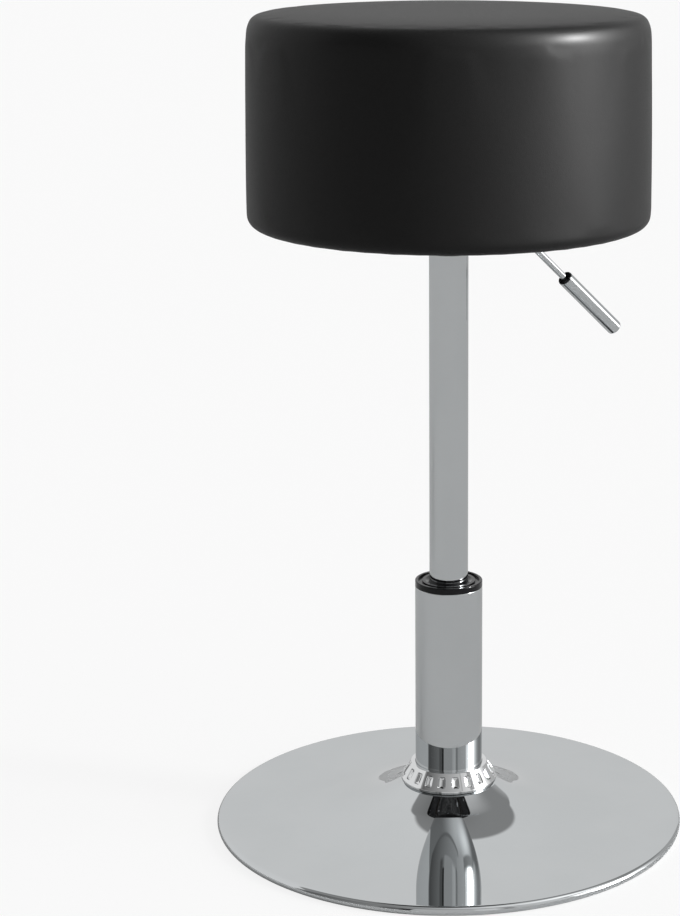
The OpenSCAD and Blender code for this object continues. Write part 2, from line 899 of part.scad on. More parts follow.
// Plywood disc that carries the seat
module seat_board() {
    color("burlywood")
        difference() {
            disc(board_r, board_z, board_top);
            around(seat_screw_n, seat_screw_circle_r, seat_screw_phase)
                union() {
                    disc(tnut_r + fixed_gap, board_z - over, board_top + over);
                    disc(tnut_flange_r + fixed_gap, board_top - tnut_flange_t - fixed_gap,
                        board_top + over);
                }
        }
}

// Plywood ring under the board that the cover is stapled to
module seat_ring() {
    color("burlywood")
        tube(ring_r, recess_r, ring_z, board_z);
}

// Foam block with a skirt that hangs over the edge of the board
module seat_foam() {
    color("khaki")
        difference() {
            rotate_extrude($fn = seat_fn)
                polygon(concat([[0, seat_z + cover_t + foam_gap]], drum_points(cover_t + foam_gap)));
            disc(board_r + foam_gap, seat_z, board_top + foam_gap);
        }
}

// Cover drawn over the foam and turned in under the ring
module seat_cover() {
    color("#2b2b2d")
        rotate_extrude($fn = seat_fn)
            polygon(concat(
                [[cover_turn_r, seat_z]], drum_points(0),
                backwards(drum_points(cover_t)), [[cover_turn_r, seat_z + cover_t]]
            ));
}

// Thin black cloth round the recess
module dust_cloth() {
    color("#1c1c1e")
        tube(cloth_outer_r, cloth_inner_r, seat_z - seat_gap - cloth_t, seat_z - seat_gap);
}

base_disc();
base_ballast();
base_floor_ring();
column_tube();
column_foot();
foot_screws();
slotted_collar();
guide_bush();
lower_race();
bearing_cage();
bearing_balls();
upper_race();
retaining_clip();
piston_rod();
bump_stop();
piston();
piston_ring();
gas_cylinder();
rod_guide();
rod_seal();
valve_block();
release_pin();
taper_socket();
seat_bracket();
bracket_screws();
board_tee_nuts();
pivot_clevis();
pivot_pin();
lever_rod();
lever_grip();
grip_liner();
seat_board();
seat_ring();
seat_foam();
seat_cover();
dust_cloth();
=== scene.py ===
"""Looks of a round swivel stool with a gas lift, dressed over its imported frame.

All lengths are metres in the frame's own axes: +Z up, -Y the front, the origin on
the floor at the middle of the base. Each sub-assembly is a class that holds its
sizes and makes its pieces, each finish is a small class that makes its material,
and the studio class makes the floor, the light and the camera.
"""

from __future__ import annotations

import json
import logging
import math
import random
from dataclasses import dataclass
from enum import Enum
from typing import Callable, Sequence

import bmesh
import bpy
from mathutils import Matrix, Vector

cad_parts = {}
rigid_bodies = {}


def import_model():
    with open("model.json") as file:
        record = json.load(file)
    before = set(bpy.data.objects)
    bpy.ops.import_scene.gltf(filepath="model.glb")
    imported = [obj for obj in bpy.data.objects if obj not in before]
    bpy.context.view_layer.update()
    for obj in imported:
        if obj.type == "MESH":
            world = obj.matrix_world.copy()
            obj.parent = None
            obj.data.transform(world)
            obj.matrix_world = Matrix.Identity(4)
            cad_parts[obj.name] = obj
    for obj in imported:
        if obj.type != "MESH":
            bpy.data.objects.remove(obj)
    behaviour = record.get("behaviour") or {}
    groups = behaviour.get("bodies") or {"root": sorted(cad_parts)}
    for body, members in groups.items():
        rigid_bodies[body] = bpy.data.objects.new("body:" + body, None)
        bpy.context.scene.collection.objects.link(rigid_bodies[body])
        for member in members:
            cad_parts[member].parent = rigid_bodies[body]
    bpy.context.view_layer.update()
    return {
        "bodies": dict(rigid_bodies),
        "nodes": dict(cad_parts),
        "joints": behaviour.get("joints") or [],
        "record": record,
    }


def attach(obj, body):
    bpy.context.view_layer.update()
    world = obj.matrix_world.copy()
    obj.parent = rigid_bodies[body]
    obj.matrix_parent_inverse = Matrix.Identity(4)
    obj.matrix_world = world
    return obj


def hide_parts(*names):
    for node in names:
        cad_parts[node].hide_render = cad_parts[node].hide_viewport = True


LOG = logging.getLogger("stool")
TAU = math.tau
ON_AXIS = 1e-6

Point = tuple[float, float]
Colour = tuple[float, float, float]
Dent = Callable[[int, float], Point]
Socket = bpy.types.NodeSocket
Outputs = bpy.types.NodeOutputs
Tree = bpy.types.NodeTree
Material = bpy.types.Material
Piece = bpy.types.Object
Mesh = bmesh.types.BMesh
Layers = tuple[Socket | None, ...]


class Body(Enum):
    """The bodies of the frame that the pieces ride on."""

    BASE = "base"
    LIFT = "lift"
    LEVER = "lever"


class Slot(Enum):
    """The record's material slots."""

    CHROME_PLATE = "chrome_plate"
    CHROME_TUBE = "chrome_tube"
    LEATHER = "black_leather"
    PLASTIC = "black_plastic"
    RUBBER = "black_rubber"
    IRON = "dark_cast_iron"
    PAINTED = "black_painted_steel"
    ZINC = "zinc_steel"
    BRASS = "brass"
    PLYWOOD = "plywood"
    FOAM = "foam"
    CLOTH = "dust_cloth"


# Meshes


def arc(centre: Point, radius: float, start: float, end: float, steps: int) -> list[Point]:
    """Points along an arc about a centre, between two angles in degrees, 0 outwards and 90 up."""
    angles = [math.radians(start + (end - start) * i / steps) for i in range(steps + 1)]
    return [(centre[0] + radius * math.cos(a), centre[1] + radius * math.sin(a)) for a in angles]


def polar(radius: float, angle: float, height: float = 0.0) -> Vector:
    """Place at a distance from the Z axis, an angle round it and a height."""
    return Vector((radius * math.cos(angle), radius * math.sin(angle), height))


def smoothstep(low: float, high: float, value: float) -> float:
    """Rises smoothly from 0 where the value is low to 1 where it is high."""
    share = min(1.0, max(0.0, (value - low) / (high - low)))
    return share * share * (3 - 2 * share)


def bridge(bm: Mesh, low: list, high: list) -> None:
    """Joins two rings of vertices, each a full ring or a single vertex on the axis.

    Args:
        bm: The mesh under construction.
        low: First ring.
        high: Second ring.
    """
    count = max(len(low), len(high))
    if count == 1:
        return
    for k in range(count):
        places = ((low, k), (low, k + 1), (high, k + 1), (high, k))
        bm.faces.new(list(dict.fromkeys(ring[i % len(ring)] for ring, i in places)))


def turned(profile: Sequence[Point], count: int, dent: Dent | None = None) -> Mesh:
    """Turns a closed section round the Z axis.

    Args:
        profile: Points of the section, as distance from the axis and height.
        count: Number of columns round the axis.
        dent: Gives a point's shift outwards and upwards from its row and angle.

    Returns:
        The new mesh.
    """
    bm = bmesh.new()
    rings = []
    for row, (radius, height) in enumerate(profile):
        if radius < ON_AXIS:
            rings.append([bm.verts.new((0, 0, height))])
            continue
        ring = []
        for k in range(count):
            angle = TAU * k / count
            out, up = dent(row, angle) if dent else (0.0, 0.0)
            ring.append(bm.verts.new(polar(radius + out, angle, height + up)))
        rings.append(ring)
    for low, high in zip(rings, rings[1:] + rings[:1]):
        bridge(bm, low, high)
    return bm


def swept(path: Sequence[Vector], section: Sequence[Point], side: Vector) -> Mesh:
    """Carries a section along a path that lies in one plane.

    Args:
        path: Points of the path.
        section: Points of the section, across the plane and in the plane.
        side: Direction square to the plane of the path.

    Returns:
        The new mesh, closed at both ends.
    """
    bm = bmesh.new()
    rings = []
    for i, point in enumerate(path):
        ahead = (path[min(i + 1, len(path) - 1)] - path[max(i - 1, 0)]).normalized()
        lift = side.cross(ahead).normalized()
        rings.append([bm.verts.new(point + side * x + lift * y) for x, y in section])
    for low, high in zip(rings, rings[1:]):
        bridge(bm, low, high)
    bm.faces.new(rings[0])
    bm.faces.new(rings[-1])
    return bm


def circle(radius: float, count: int) -> list[Point]:
    """Points round a circle about the origin, first one outwards."""
    return [tuple(polar(radius, TAU * k / count).xy) for k in range(count)]


def bar(start: Vector, end: Vector, radius: float, edge: float, count: int) -> Mesh:
    """A round bar between two points with softened ends.

    Args:
        start: Middle of the first end.
        end: Middle of the second end.
        radius: Radius of the bar.
        edge: Rounding of its ends.
        count: Number of columns round it.

    Returns:
        The new mesh.
    """
    length = (end - start).length
    profile = [(0.0, 0.0), *arc((radius - edge, edge), edge, -90, 0, 4),
               *arc((radius - edge, length - edge), edge, 0, 90, 4), (0.0, length)]
    bm = turned(profile, count)
    turn = (end - start).to_track_quat("Z", "Y").to_matrix().to_4x4()
    bm.transform(Matrix.Translation(start) @ turn)
    return bm


def joined(parts: Sequence[Mesh]) -> Mesh:
    """Puts several meshes into the first one and frees the others.

    Args:
        parts: The meshes.

    Returns:
        The mesh.
    """
    whole = parts[0]
    for part in parts[1:]:
        spare = bpy.data.meshes.new("spare")
        part.to_mesh(spare)
        part.free()
        whole.from_mesh(spare)
        bpy.data.meshes.remove(spare)
    return whole


def made(name: str, bm: Mesh, sharp: float = 32.0,
         weighted: bool = True) -> Piece:
    """Makes an object of a mesh, smooth but for its sharp edges.

    Args:
        name: Name of the piece.
        bm: The mesh, which is freed.
        sharp: Angle in degrees above which an edge stays sharp.
        weighted: Whether wide faces lead the shading of their corners.

    Returns:
        The new object, linked to the scene.
    """
    bmesh.ops.recalc_face_normals(bm, faces=bm.faces)
    for edge in bm.edges:
        edge.smooth = edge.calc_face_angle(0.0) < math.radians(sharp)
    for face in bm.faces:
        face.smooth = True
    mesh = bpy.data.meshes.new(name)
    bm.to_mesh(mesh)
    bm.free()
    piece = bpy.data.objects.new(name, mesh)
    bpy.context.scene.collection.objects.link(piece)
    if weighted:
        piece.modifiers.new("wide faces lead", "WEIGHTED_NORMAL").keep_sharp = True
    return piece


def applied(piece: Piece) -> None:
    """Turns a piece's modifiers into its own mesh.

    Args:
        piece: The piece.
    """
    graph = bpy.context.evaluated_depsgraph_get()
    mesh = bpy.data.meshes.new_from_object(piece.evaluated_get(graph))
    piece.modifiers.clear()
    piece.data = mesh


# Nodes


class NodePlacer:
    """Places nodes in a node tree and links them."""

    def __init__(self, tree: Tree) -> None:
        """Takes the node tree as it is."""
        self.tree, self.nodes = tree, tree.nodes

    def feed(self, socket: Socket, value: object) -> None:
        """Links a socket to an input, or sets the input's own value.

        Args:
            socket: The input.
            value: A socket, or the input's own value.
        """
        if isinstance(value, Socket):
            self.tree.links.new(value, socket)
        else:
            socket.default_value = value

    def fill(self, node: bpy.types.Node, **inputs: object) -> Outputs:
        """Fills a node's named inputs.

        Args:
            node: The node.
            **inputs: Sockets, numbers or colours, with _ for a space.

        Returns:
            The node's outputs.
        """
        for label, value in inputs.items():
            self.feed(node.inputs[label.replace("_", " ")], value)
        return node.outputs

    def put(self, kind: str, **inputs: object) -> Outputs:
        """Adds a node, fills its named inputs and returns its outputs."""
        return self.fill(self.nodes.new(kind), **inputs)

    def feed_all(self, node: bpy.types.Node, *values: object) -> Outputs:
        """Fills a node's first inputs in turn and returns its outputs.

        Args:
            node: The node.
            *values: Sockets or values, in the order of the inputs.

        Returns:
            The node's outputs.
        """
        for socket, value in zip(node.inputs, values):
            self.feed(socket, value)
        return node.outputs

    def math(self, operation: str, *values: object) -> Socket:
        """Adds a Math node.

        Args:
            operation: Blender's name of the operation.
            *values: Sockets or values, in the order of the inputs.

        Returns:
            The node's output.
        """
        node = self.nodes.new("ShaderNodeMath")
        node.operation = operation
        return self.feed_all(node, *values)[0]

    def plus(self, first: object, second: object) -> Socket:
        """Adds two values."""
        return self.math("ADD", first, second)

    def times(self, first: object, second: object) -> Socket:
        """Multiplies two values."""
        return self.math("MULTIPLY", first, second)

    def dot(self, first: Socket, second: Vector) -> Socket:
        """Multiplies two directions.

        Args:
            first: The first direction.
            second: The second direction.

        Returns:
            The node's output.
        """
        node = self.nodes.new("ShaderNodeVectorMath")
        node.operation = "DOT_PRODUCT"
        return self.feed_all(node, first, second)["Value"]

    def split(self, vector: Socket) -> Outputs:
        """Splits a place or direction into X, Y and Z."""
        return self.put("ShaderNodeSeparateXYZ", Vector=vector)

    def spread(self, value: Socket, span: Point, levels: Point = (0.0, 1.0),
               smooth: bool = True) -> Socket:
        """Carries a value from one span to another, and holds it there.

        Args:
            value: The value.
            span: Lowest and highest value.
            levels: Result at each of them.
            smooth: Whether the result eases in and out.

        Returns:
            The node's output.
        """
        node = self.nodes.new("ShaderNodeMapRange")
        node.interpolation_type = "SMOOTHSTEP" if smooth else "LINEAR"
        return self.fill(node, Value=value, From_Min=span[0], From_Max=span[1],
                         To_Min=levels[0], To_Max=levels[1])["Result"]

    def mix(self, share: Socket, low: object, high: object) -> Socket:
        """Mixes two levels by a share of the second.

        Args:
            share: Share of the second level.
            low: The first level.
            high: The second level.

        Returns:
            The node's output.
        """
        node = self.nodes.new("ShaderNodeMix")
        for index, value in ((0, share), (2, low), (3, high)):
            self.feed(node.inputs[index], value)
        return node.outputs[0]


class GroupMaker(NodePlacer):
    """Builds one shader node group with named inputs and outputs."""

    def __init__(self, name: str, inputs: dict[str, float], outputs: Sequence[str]) -> None:
        """Starts the group with a Vector input and the named values.

        Args:
            name: Name of the group.
            inputs: Names of the value inputs with their defaults.
            outputs: Names of the value outputs.
        """
        super().__init__(bpy.data.node_groups.new(name, "ShaderNodeTree"))
        sockets = self.tree.interface
        sockets.new_socket(name="Vector", in_out="INPUT", socket_type="NodeSocketVector")
        for label, value in inputs.items():
            socket = sockets.new_socket(name=label, in_out="INPUT", socket_type="NodeSocketFloat")
            socket.default_value = value
        for label in outputs:
            sockets.new_socket(name=label, in_out="OUTPUT", socket_type="NodeSocketFloat")
        self.given = self.put("NodeGroupInput")

    def noise(self, scale: object, detail: float, rough: float = 0.5,
              vector: Socket | None = None) -> Socket:
        """Noise from 0 to 1, in cells per metre, read at the group's Vector or another."""
        return self.put("ShaderNodeTexNoise", Vector=vector or self.given["Vector"], Scale=scale,
                        Detail=detail, Roughness=rough)[0]

    def stretched(self, scale: tuple[float, float, float], turn: float = 0.0) -> Socket:
        """The group's Vector, turned about Z and stretched."""
        return self.put("ShaderNodeMapping", Vector=self.given["Vector"], Scale=scale,
                        Rotation=(0.0, 0.0, turn))[0]

    def give(self, **sockets: Socket) -> Tree:
        """Links the outputs and returns the finished group."""
        self.put("NodeGroupOutput", **sockets)
        return self.tree


class Effects:
    """The node groups that the finishes share, each built once."""

    def __init__(self) -> None:
        """Builds every group."""
        self.pebbles = self._pebbles()
        self.clouds = self._clouds()
        self.speckle = self._speckle()
        self.edge_wear = self._edge_wear()
        self.turned_rings = self._turned_rings()
        self.plies = self._plies()
        self.fibres = self._fibres()

    @staticmethod
    def _pebbles() -> Tree:
        """Leather grain: Height of its pebbles, lower on upright faces, and Crease between them,
        where the leather's colour is darkened as painted shade.

        Returns:
            The node group.
        """
        maker = GroupMaker("pebble_grain", {"Cells": 700.0, "Crease": 0.6, "Upright": 0.3},
                           ("Height", "Crease"))
        cells, upright = maker.given["Cells"], maker.given["Upright"]
        normal = maker.put("ShaderNodeNewGeometry")["Normal"]
        level = maker.spread(maker.math("ABSOLUTE", maker.split(normal)[2]), (0.3, 0.95))
        kept = maker.plus(upright, maker.times(level, maker.math("SUBTRACT", 1.0, upright)))
        pattern = maker.nodes.new("ShaderNodeTexVoronoi")
        pattern.feature = "DISTANCE_TO_EDGE"
        edge = maker.fill(pattern, Vector=maker.given["Vector"], Scale=cells)["Distance"]
        # Crease is 1 between the pebbles; the leather is duller there and darker, the darkening
        # being painted shade.
        crease = maker.math("SUBTRACT", 1.0, maker.spread(edge, (0.0, 0.12)))
        fine = maker.times(maker.noise(maker.times(cells, 2.6), 3.0), 0.35)
        broad = maker.times(maker.noise(maker.times(cells, 0.3), 2.0), 1.2)
        round_top = maker.times(maker.spread(edge, (0.0, 0.32)), maker.given["Crease"])
        height = maker.times(kept, maker.plus(maker.plus(round_top, broad), fine))
        return maker.give(Height=height, Crease=crease)

    @staticmethod
    def _clouds() -> Tree:
        """Soft uneven patches, as of handling, dust or uneven dye.

        Returns:
            The node group.
        """
        maker = GroupMaker("soft_clouds", {"Cells": 20.0}, ("Mask",))
        patches = maker.noise(maker.given["Cells"], 5.0, 0.55)
        return maker.give(Mask=maker.spread(patches, (0.35, 0.68)))

    @staticmethod
    def _speckle() -> Tree:
        """Fine even roughness, as of moulded, painted or cast skin.

        Returns:
            The node group.
        """
        maker = GroupMaker("fine_speckle", {"Cells": 2500.0}, ("Height", "Mask"))
        fine = maker.noise(maker.given["Cells"], 2.0, 0.6)
        height = maker.plus(fine, maker.noise(maker.times(maker.given["Cells"], 0.22), 2.0))
        return maker.give(Height=height, Mask=maker.spread(height, (0.8, 1.2)))

    @staticmethod
    def _edge_wear() -> Tree:
        """Edges rubbed bright: Mask is 1 on the worn edges.

        Returns:
            The node group.
        """
        maker = GroupMaker("edge_wear", {"Cells": 160.0}, ("Mask",))
        edge = maker.spread(maker.put("ShaderNodeNewGeometry")["Pointiness"], (0.51, 0.6))
        broken = maker.spread(maker.noise(maker.given["Cells"], 4.0), (0.38, 0.62))
        return maker.give(Mask=maker.times(edge, broken))

    @staticmethod
    def _turned_rings() -> Tree:
        """Fine rings left by turning round the stool's axis.

        Returns:
            The node group.
        """
        maker = GroupMaker("turned_rings", {"Rings": 2500.0}, ("Height",))
        x, y, z = maker.split(maker.given["Vector"])
        across = maker.math("SQRT", maker.plus(maker.times(x, x), maker.times(y, y)))
        wave = maker.math("SINE", maker.times(maker.plus(across, z), maker.given["Rings"]))
        return maker.give(Height=maker.times(wave, maker.noise(90.0, 2.0)))

    @staticmethod
    def _plies() -> Tree:
        """Thin layers of plywood: Band of each ply and Grain along it.

        Returns:
            The node group.
        """
        maker = GroupMaker("wood_plies", {"Plies": 700.0}, ("Band", "Grain"))
        height = maker.split(maker.given["Vector"])[2]
        wave = maker.math("SINE", maker.times(height, maker.times(maker.given["Plies"], math.pi)))
        grain = maker.noise(420.0, 4.0, 0.6, maker.stretched((0.06, 1.0, 1.0)))
        return maker.give(Band=maker.spread(wave, (-0.4, 0.4)), Grain=grain)

    @staticmethod
    def _fibres() -> Tree:
        """Matted fibres of a felted cloth.

        Returns:
            The node group.
        """
        maker = GroupMaker("matted_fibres", {"Cells": 900.0}, ("Height", "Mask"))
        ways = ((1.0, 0.08, 1.0), (0.08, 1.0, 1.0))
        crossed = [maker.noise(maker.given["Cells"], 3.0, 0.6, maker.stretched(way, 0.6 * way[0]))
                   for way in ways]
        height = maker.math("MAXIMUM", *crossed)
        return maker.give(Height=height, Mask=maker.spread(height, (0.45, 0.7)))


# Finishes


class MaterialMaker(NodePlacer):
    """Builds one material round a Principled shader."""

    def __init__(self, name: str, **sockets: object) -> None:
        """Sets the shader's own sockets.

        Args:
            name: Name of the material.
            **sockets: Sockets of the shader, with _ for a space.
        """
        self.material = bpy.data.materials.new(name)
        self.material.use_nodes = True
        super().__init__(self.material.node_tree)
        self.shader = self.nodes["Principled BSDF"]
        self.fill(self.shader, **sockets)
        self.at = self.put("ShaderNodeTexCoord")["Object"]

    def effect(self, group: Tree, **values: float) -> Outputs:
        """Places a shared effect with this finish's values.

        Args:
            group: The node group.
            **values: Its inputs.

        Returns:
            The node's outputs.
        """
        node = self.nodes.new("ShaderNodeGroup")
        node.node_tree = group
        return self.fill(node, Vector=self.at, **values)

    def tint(self, mask: Socket, low: Colour, high: Colour) -> None:
        """Lets the base colour go from low to high with a mask.

        Args:
            mask: Share from 0 to 1.
            low: Colour where the mask is 0.
            high: Colour where it is 1.
        """
        mix = self.nodes.new("ShaderNodeMix")
        mix.data_type = "RGBA"
        for index, value in ((0, mask), (6, (*low, 1.0)), (7, (*high, 1.0))):
            self.feed(mix.inputs[index], value)
        self.fill(self.shader, Base_Color=mix.outputs[2])

    def roughen(self, mask: Socket, low: float, high: float) -> None:
        """Lets the roughness go from low to high with a mask."""
        self.fill(self.shader, Roughness=self.spread(mask, (0.0, 1.0), (low, high), smooth=False))

    def relief(self, height: Socket, depth: float) -> None:
        """Raises the surface by a height from 0 to about 1, of a depth in metres."""
        bump = self.put("ShaderNodeBump", Distance=depth, Strength=1.0, Height=height)
        self.fill(self.shader, Normal=bump["Normal"])


@dataclass(frozen=True)
class Finish:
    """A finish that varies between two colours and two roughnesses, with a relief."""

    colour: Colour
    second: Colour
    smooth: float
    rough: float
    depth: float = 0.0

    def sockets(self) -> dict[str, object]:
        """The shader's other sockets, each the same all over."""
        return {}

    def layers(self, maker: MaterialMaker, effects: Effects) -> Layers:
        """Places the effects: masks of colour and roughness, and the height of the relief."""
        raise NotImplementedError

    def make(self, name: str, effects: Effects) -> Material:
        """Makes the material.

        Args:
            name: Name of the material.
            effects: The shared node groups.

        Returns:
            The material.
        """
        maker = MaterialMaker(name, Base_Color=(*self.colour, 1.0), Roughness=self.smooth,
                              **self.sockets())
        tint, shine, height = self.layers(maker, effects)
        maker.tint(tint, self.colour, self.second)
        if shine:
            maker.roughen(shine, self.smooth, self.rough)
        if height:
            maker.relief(height, self.depth)
        return maker.material


@dataclass(frozen=True)
class Chrome(Finish):
    """Polished chrome with faint handling marks."""

    colour: Colour = (0.545, 0.562, 0.57)
    second: Colour = (0.53, 0.548, 0.556)
    smooth: float = 0.015
    rough: float = 0.03
    edge: float = 0.8
    cells: float = 14.0

    def sockets(self) -> dict[str, object]:
        """The metal and the tint that it takes at a grazing view."""
        return {"Metallic": 1.0, "Specular_Tint": (self.edge,) * 3 + (1.0,)}

    def layers(self, maker: MaterialMaker, effects: Effects) -> Layers:
        """Faint marks, a little darker and duller, without relief."""
        marks = maker.effect(effects.clouds, Cells=self.cells)["Mask"]
        return marks, marks, None


@dataclass(frozen=True)
class Leather(Finish):
    """Black grained leather, smooth enough to catch a soft highlight."""

    colour: Colour = (0.0022, 0.0022, 0.0022)
    # Colour between the pebbles: painted shade in the creases.
    second: Colour = (0.001, 0.001, 0.001)
    smooth: float = 0.58
    rough: float = 0.68
    depth: float = 0.0002
    specular: float = 0.108
    seal: float = 0.185
    seal_shine: float = 0.35
    cells: float = 850.0
    crease: float = 0.6
    upright: float = 0.27

    def sockets(self) -> dict[str, object]:
        """The dull hide and the thin seal over it."""
        return {"Specular_IOR_Level": self.specular, "Coat_Weight": self.seal,
                "Coat_Roughness": self.seal_shine}

    def layers(self, maker: MaterialMaker, effects: Effects) -> Layers:
        """Pebbles with duller creases between them, darkened in colour there as painted shade.

        Args:
            maker: The material under construction.
            effects: The shared node groups.

        Returns:
            The two masks and the height.
        """
        grain = maker.effect(effects.pebbles, Cells=self.cells, Crease=self.crease,
                             Upright=self.upright)
        return grain["Crease"], grain["Crease"], grain["Height"]


@dataclass(frozen=True)
class Moulded(Finish):
    """A moulded or painted skin with a fine speckle."""

    depth: float = 0.00002
    cells: float = 2500.0
    specular: float = 0.5

    def sockets(self) -> dict[str, object]:
        """How strongly the skin shines."""
        return {"Specular_IOR_Level": self.specular}

    def layers(self, maker: MaterialMaker, effects: Effects) -> Layers:
        """A speckle in colour, roughness and height."""
        skin = maker.effect(effects.speckle, Cells=self.cells)
        return skin["Mask"], skin["Mask"], skin["Height"]


@dataclass(frozen=True)
class WornMetal(Finish):
    """Turned or painted metal with edges rubbed bright."""

    depth: float = 0.000008
    metallic: float = 1.0
    rings: float = 9000.0
    cells: float = 60.0

    def sockets(self) -> dict[str, object]:
        """Bare metal, or the paint over it."""
        return {"Metallic": self.metallic}

    def layers(self, maker: MaterialMaker, effects: Effects) -> Layers:
        """Worn edges, dull patches and turned rings.

        Args:
            maker: The material under construction.
            effects: The shared node groups.

        Returns:
            The two masks and the height.
        """
        worn = maker.effect(effects.edge_wear)["Mask"]
        dull = maker.effect(effects.clouds, Cells=self.cells)["Mask"]
        return worn, dull, maker.effect(effects.turned_rings, Rings=self.rings)["Height"]


@dataclass(frozen=True)
class Plywood(Finish):
    """Plywood stained black, with its layers on the cut edges."""

    colour: Colour = (0.008, 0.006, 0.005)
    second: Colour = (0.022, 0.017, 0.013)
    smooth: float = 0.62
    rough: float = 0.8
    depth: float = 0.00015
    plies: float = 700.0

    def layers(self, maker: MaterialMaker, effects: Effects) -> Layers:
        """Grain in colour and height, and plies in roughness."""
        wood = maker.effect(effects.plies, Plies=self.plies)
        return wood["Grain"], wood["Band"], wood["Grain"]


@dataclass(frozen=True)
class Felted(Finish):
    """Cloth or foam of matted fibres and cells, equally rough all over."""

    smooth: float = 0.95
    rough: float = 0.95
    depth: float = 0.0002
    cells: float = 900.0

    def layers(self, maker: MaterialMaker, effects: Effects) -> Layers:
        """Fibres in colour and height."""
        fibres = maker.effect(effects.fibres, Cells=self.cells)
        return fibres["Mask"], None, fibres["Height"]


FINISHES: dict[Slot, Finish] = {
    Slot.CHROME_PLATE: Chrome(),
    Slot.CHROME_TUBE: Chrome(smooth=0.02, rough=0.035, cells=22.0),
    Slot.LEATHER: Leather(),
    Slot.PLASTIC: Moulded((0.0025, 0.0025, 0.0028), (0.005, 0.005, 0.0055), 0.12, 0.18,
                          specular=0.2),
    Slot.RUBBER: Moulded((0.012, 0.012, 0.012), (0.022, 0.022, 0.022), 0.62, 0.8, 0.00006, 1200.0),
    Slot.IRON: Moulded((0.035, 0.036, 0.038), (0.075, 0.075, 0.076), 0.5, 0.75, 0.0003, 700.0),
    Slot.PAINTED: WornMetal((0.012, 0.012, 0.013), (0.10, 0.10, 0.10), 0.38, 0.5, metallic=0.0),
    Slot.ZINC: WornMetal((0.50, 0.52, 0.55), (0.68, 0.68, 0.69), 0.28, 0.42),
    Slot.BRASS: WornMetal((0.58, 0.40, 0.14), (0.72, 0.55, 0.26), 0.25, 0.38),
    Slot.PLYWOOD: Plywood(),
    Slot.FOAM: Felted((0.62, 0.53, 0.27), (0.78, 0.70, 0.42), depth=0.0004, cells=1400.0),
    Slot.CLOTH: Felted((0.008, 0.008, 0.009), (0.03, 0.03, 0.032), depth=0.00012),
}
# A brighter copy of the plate's chrome, so that the collar shines more: painted shine.
CHROME_WITH_PAINTED_SHINE = Chrome((0.66, 0.67, 0.675), (0.645, 0.655, 0.66), edge=0.95)


class Shelf:
    """Holds one material for each of the record's slots."""

    def __init__(self) -> None:
        """Makes the shared effects and every material."""
        effects = Effects()
        self.materials = {slot: look.make(slot.value, effects) for slot, look in FINISHES.items()}
        # The collar's brighter copy of the plate's chrome: painted shine.
        self.bright = CHROME_WITH_PAINTED_SHINE.make("bright_chrome", effects)

    def dress(self, piece: Piece, slot: Slot, body: Body, *nodes: str,
              finish: Material | None = None) -> Piece:
        """Gives a piece its material and body, and lets it stand for its nodes.

        Args:
            piece: The new piece.
            slot: Material slot.
            body: Body that it rides on.
            *nodes: Nodes of the frame that it replaces.
            finish: Material in place of the slot's own.

        Returns:
            The piece.
        """
        self.cover(piece, finish or self.materials[slot])
        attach(piece, body.value)
        if nodes:
            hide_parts(*nodes)
        faces = len(piece.data.polygons)
        LOG.info("%s: %d faces, %s, on %s", piece.name, faces, slot.value, body.value)
        return piece

    @staticmethod
    def cover(piece: Piece, material: Material) -> None:
        """Gives a piece one material in place of any that it has."""
        piece.data.materials.clear()
        piece.data.materials.append(material)

    def dress_nodes(self, frame: dict) -> None:
        """Gives the nodes of the frame that stay their materials.
        """
        for slot, names in KEPT_NODES.items():
            for name in names:
                self.cover(frame["nodes"][name], self.materials[slot])
                LOG.info("%s keeps its own mesh, in %s", name, slot.value)


# The object


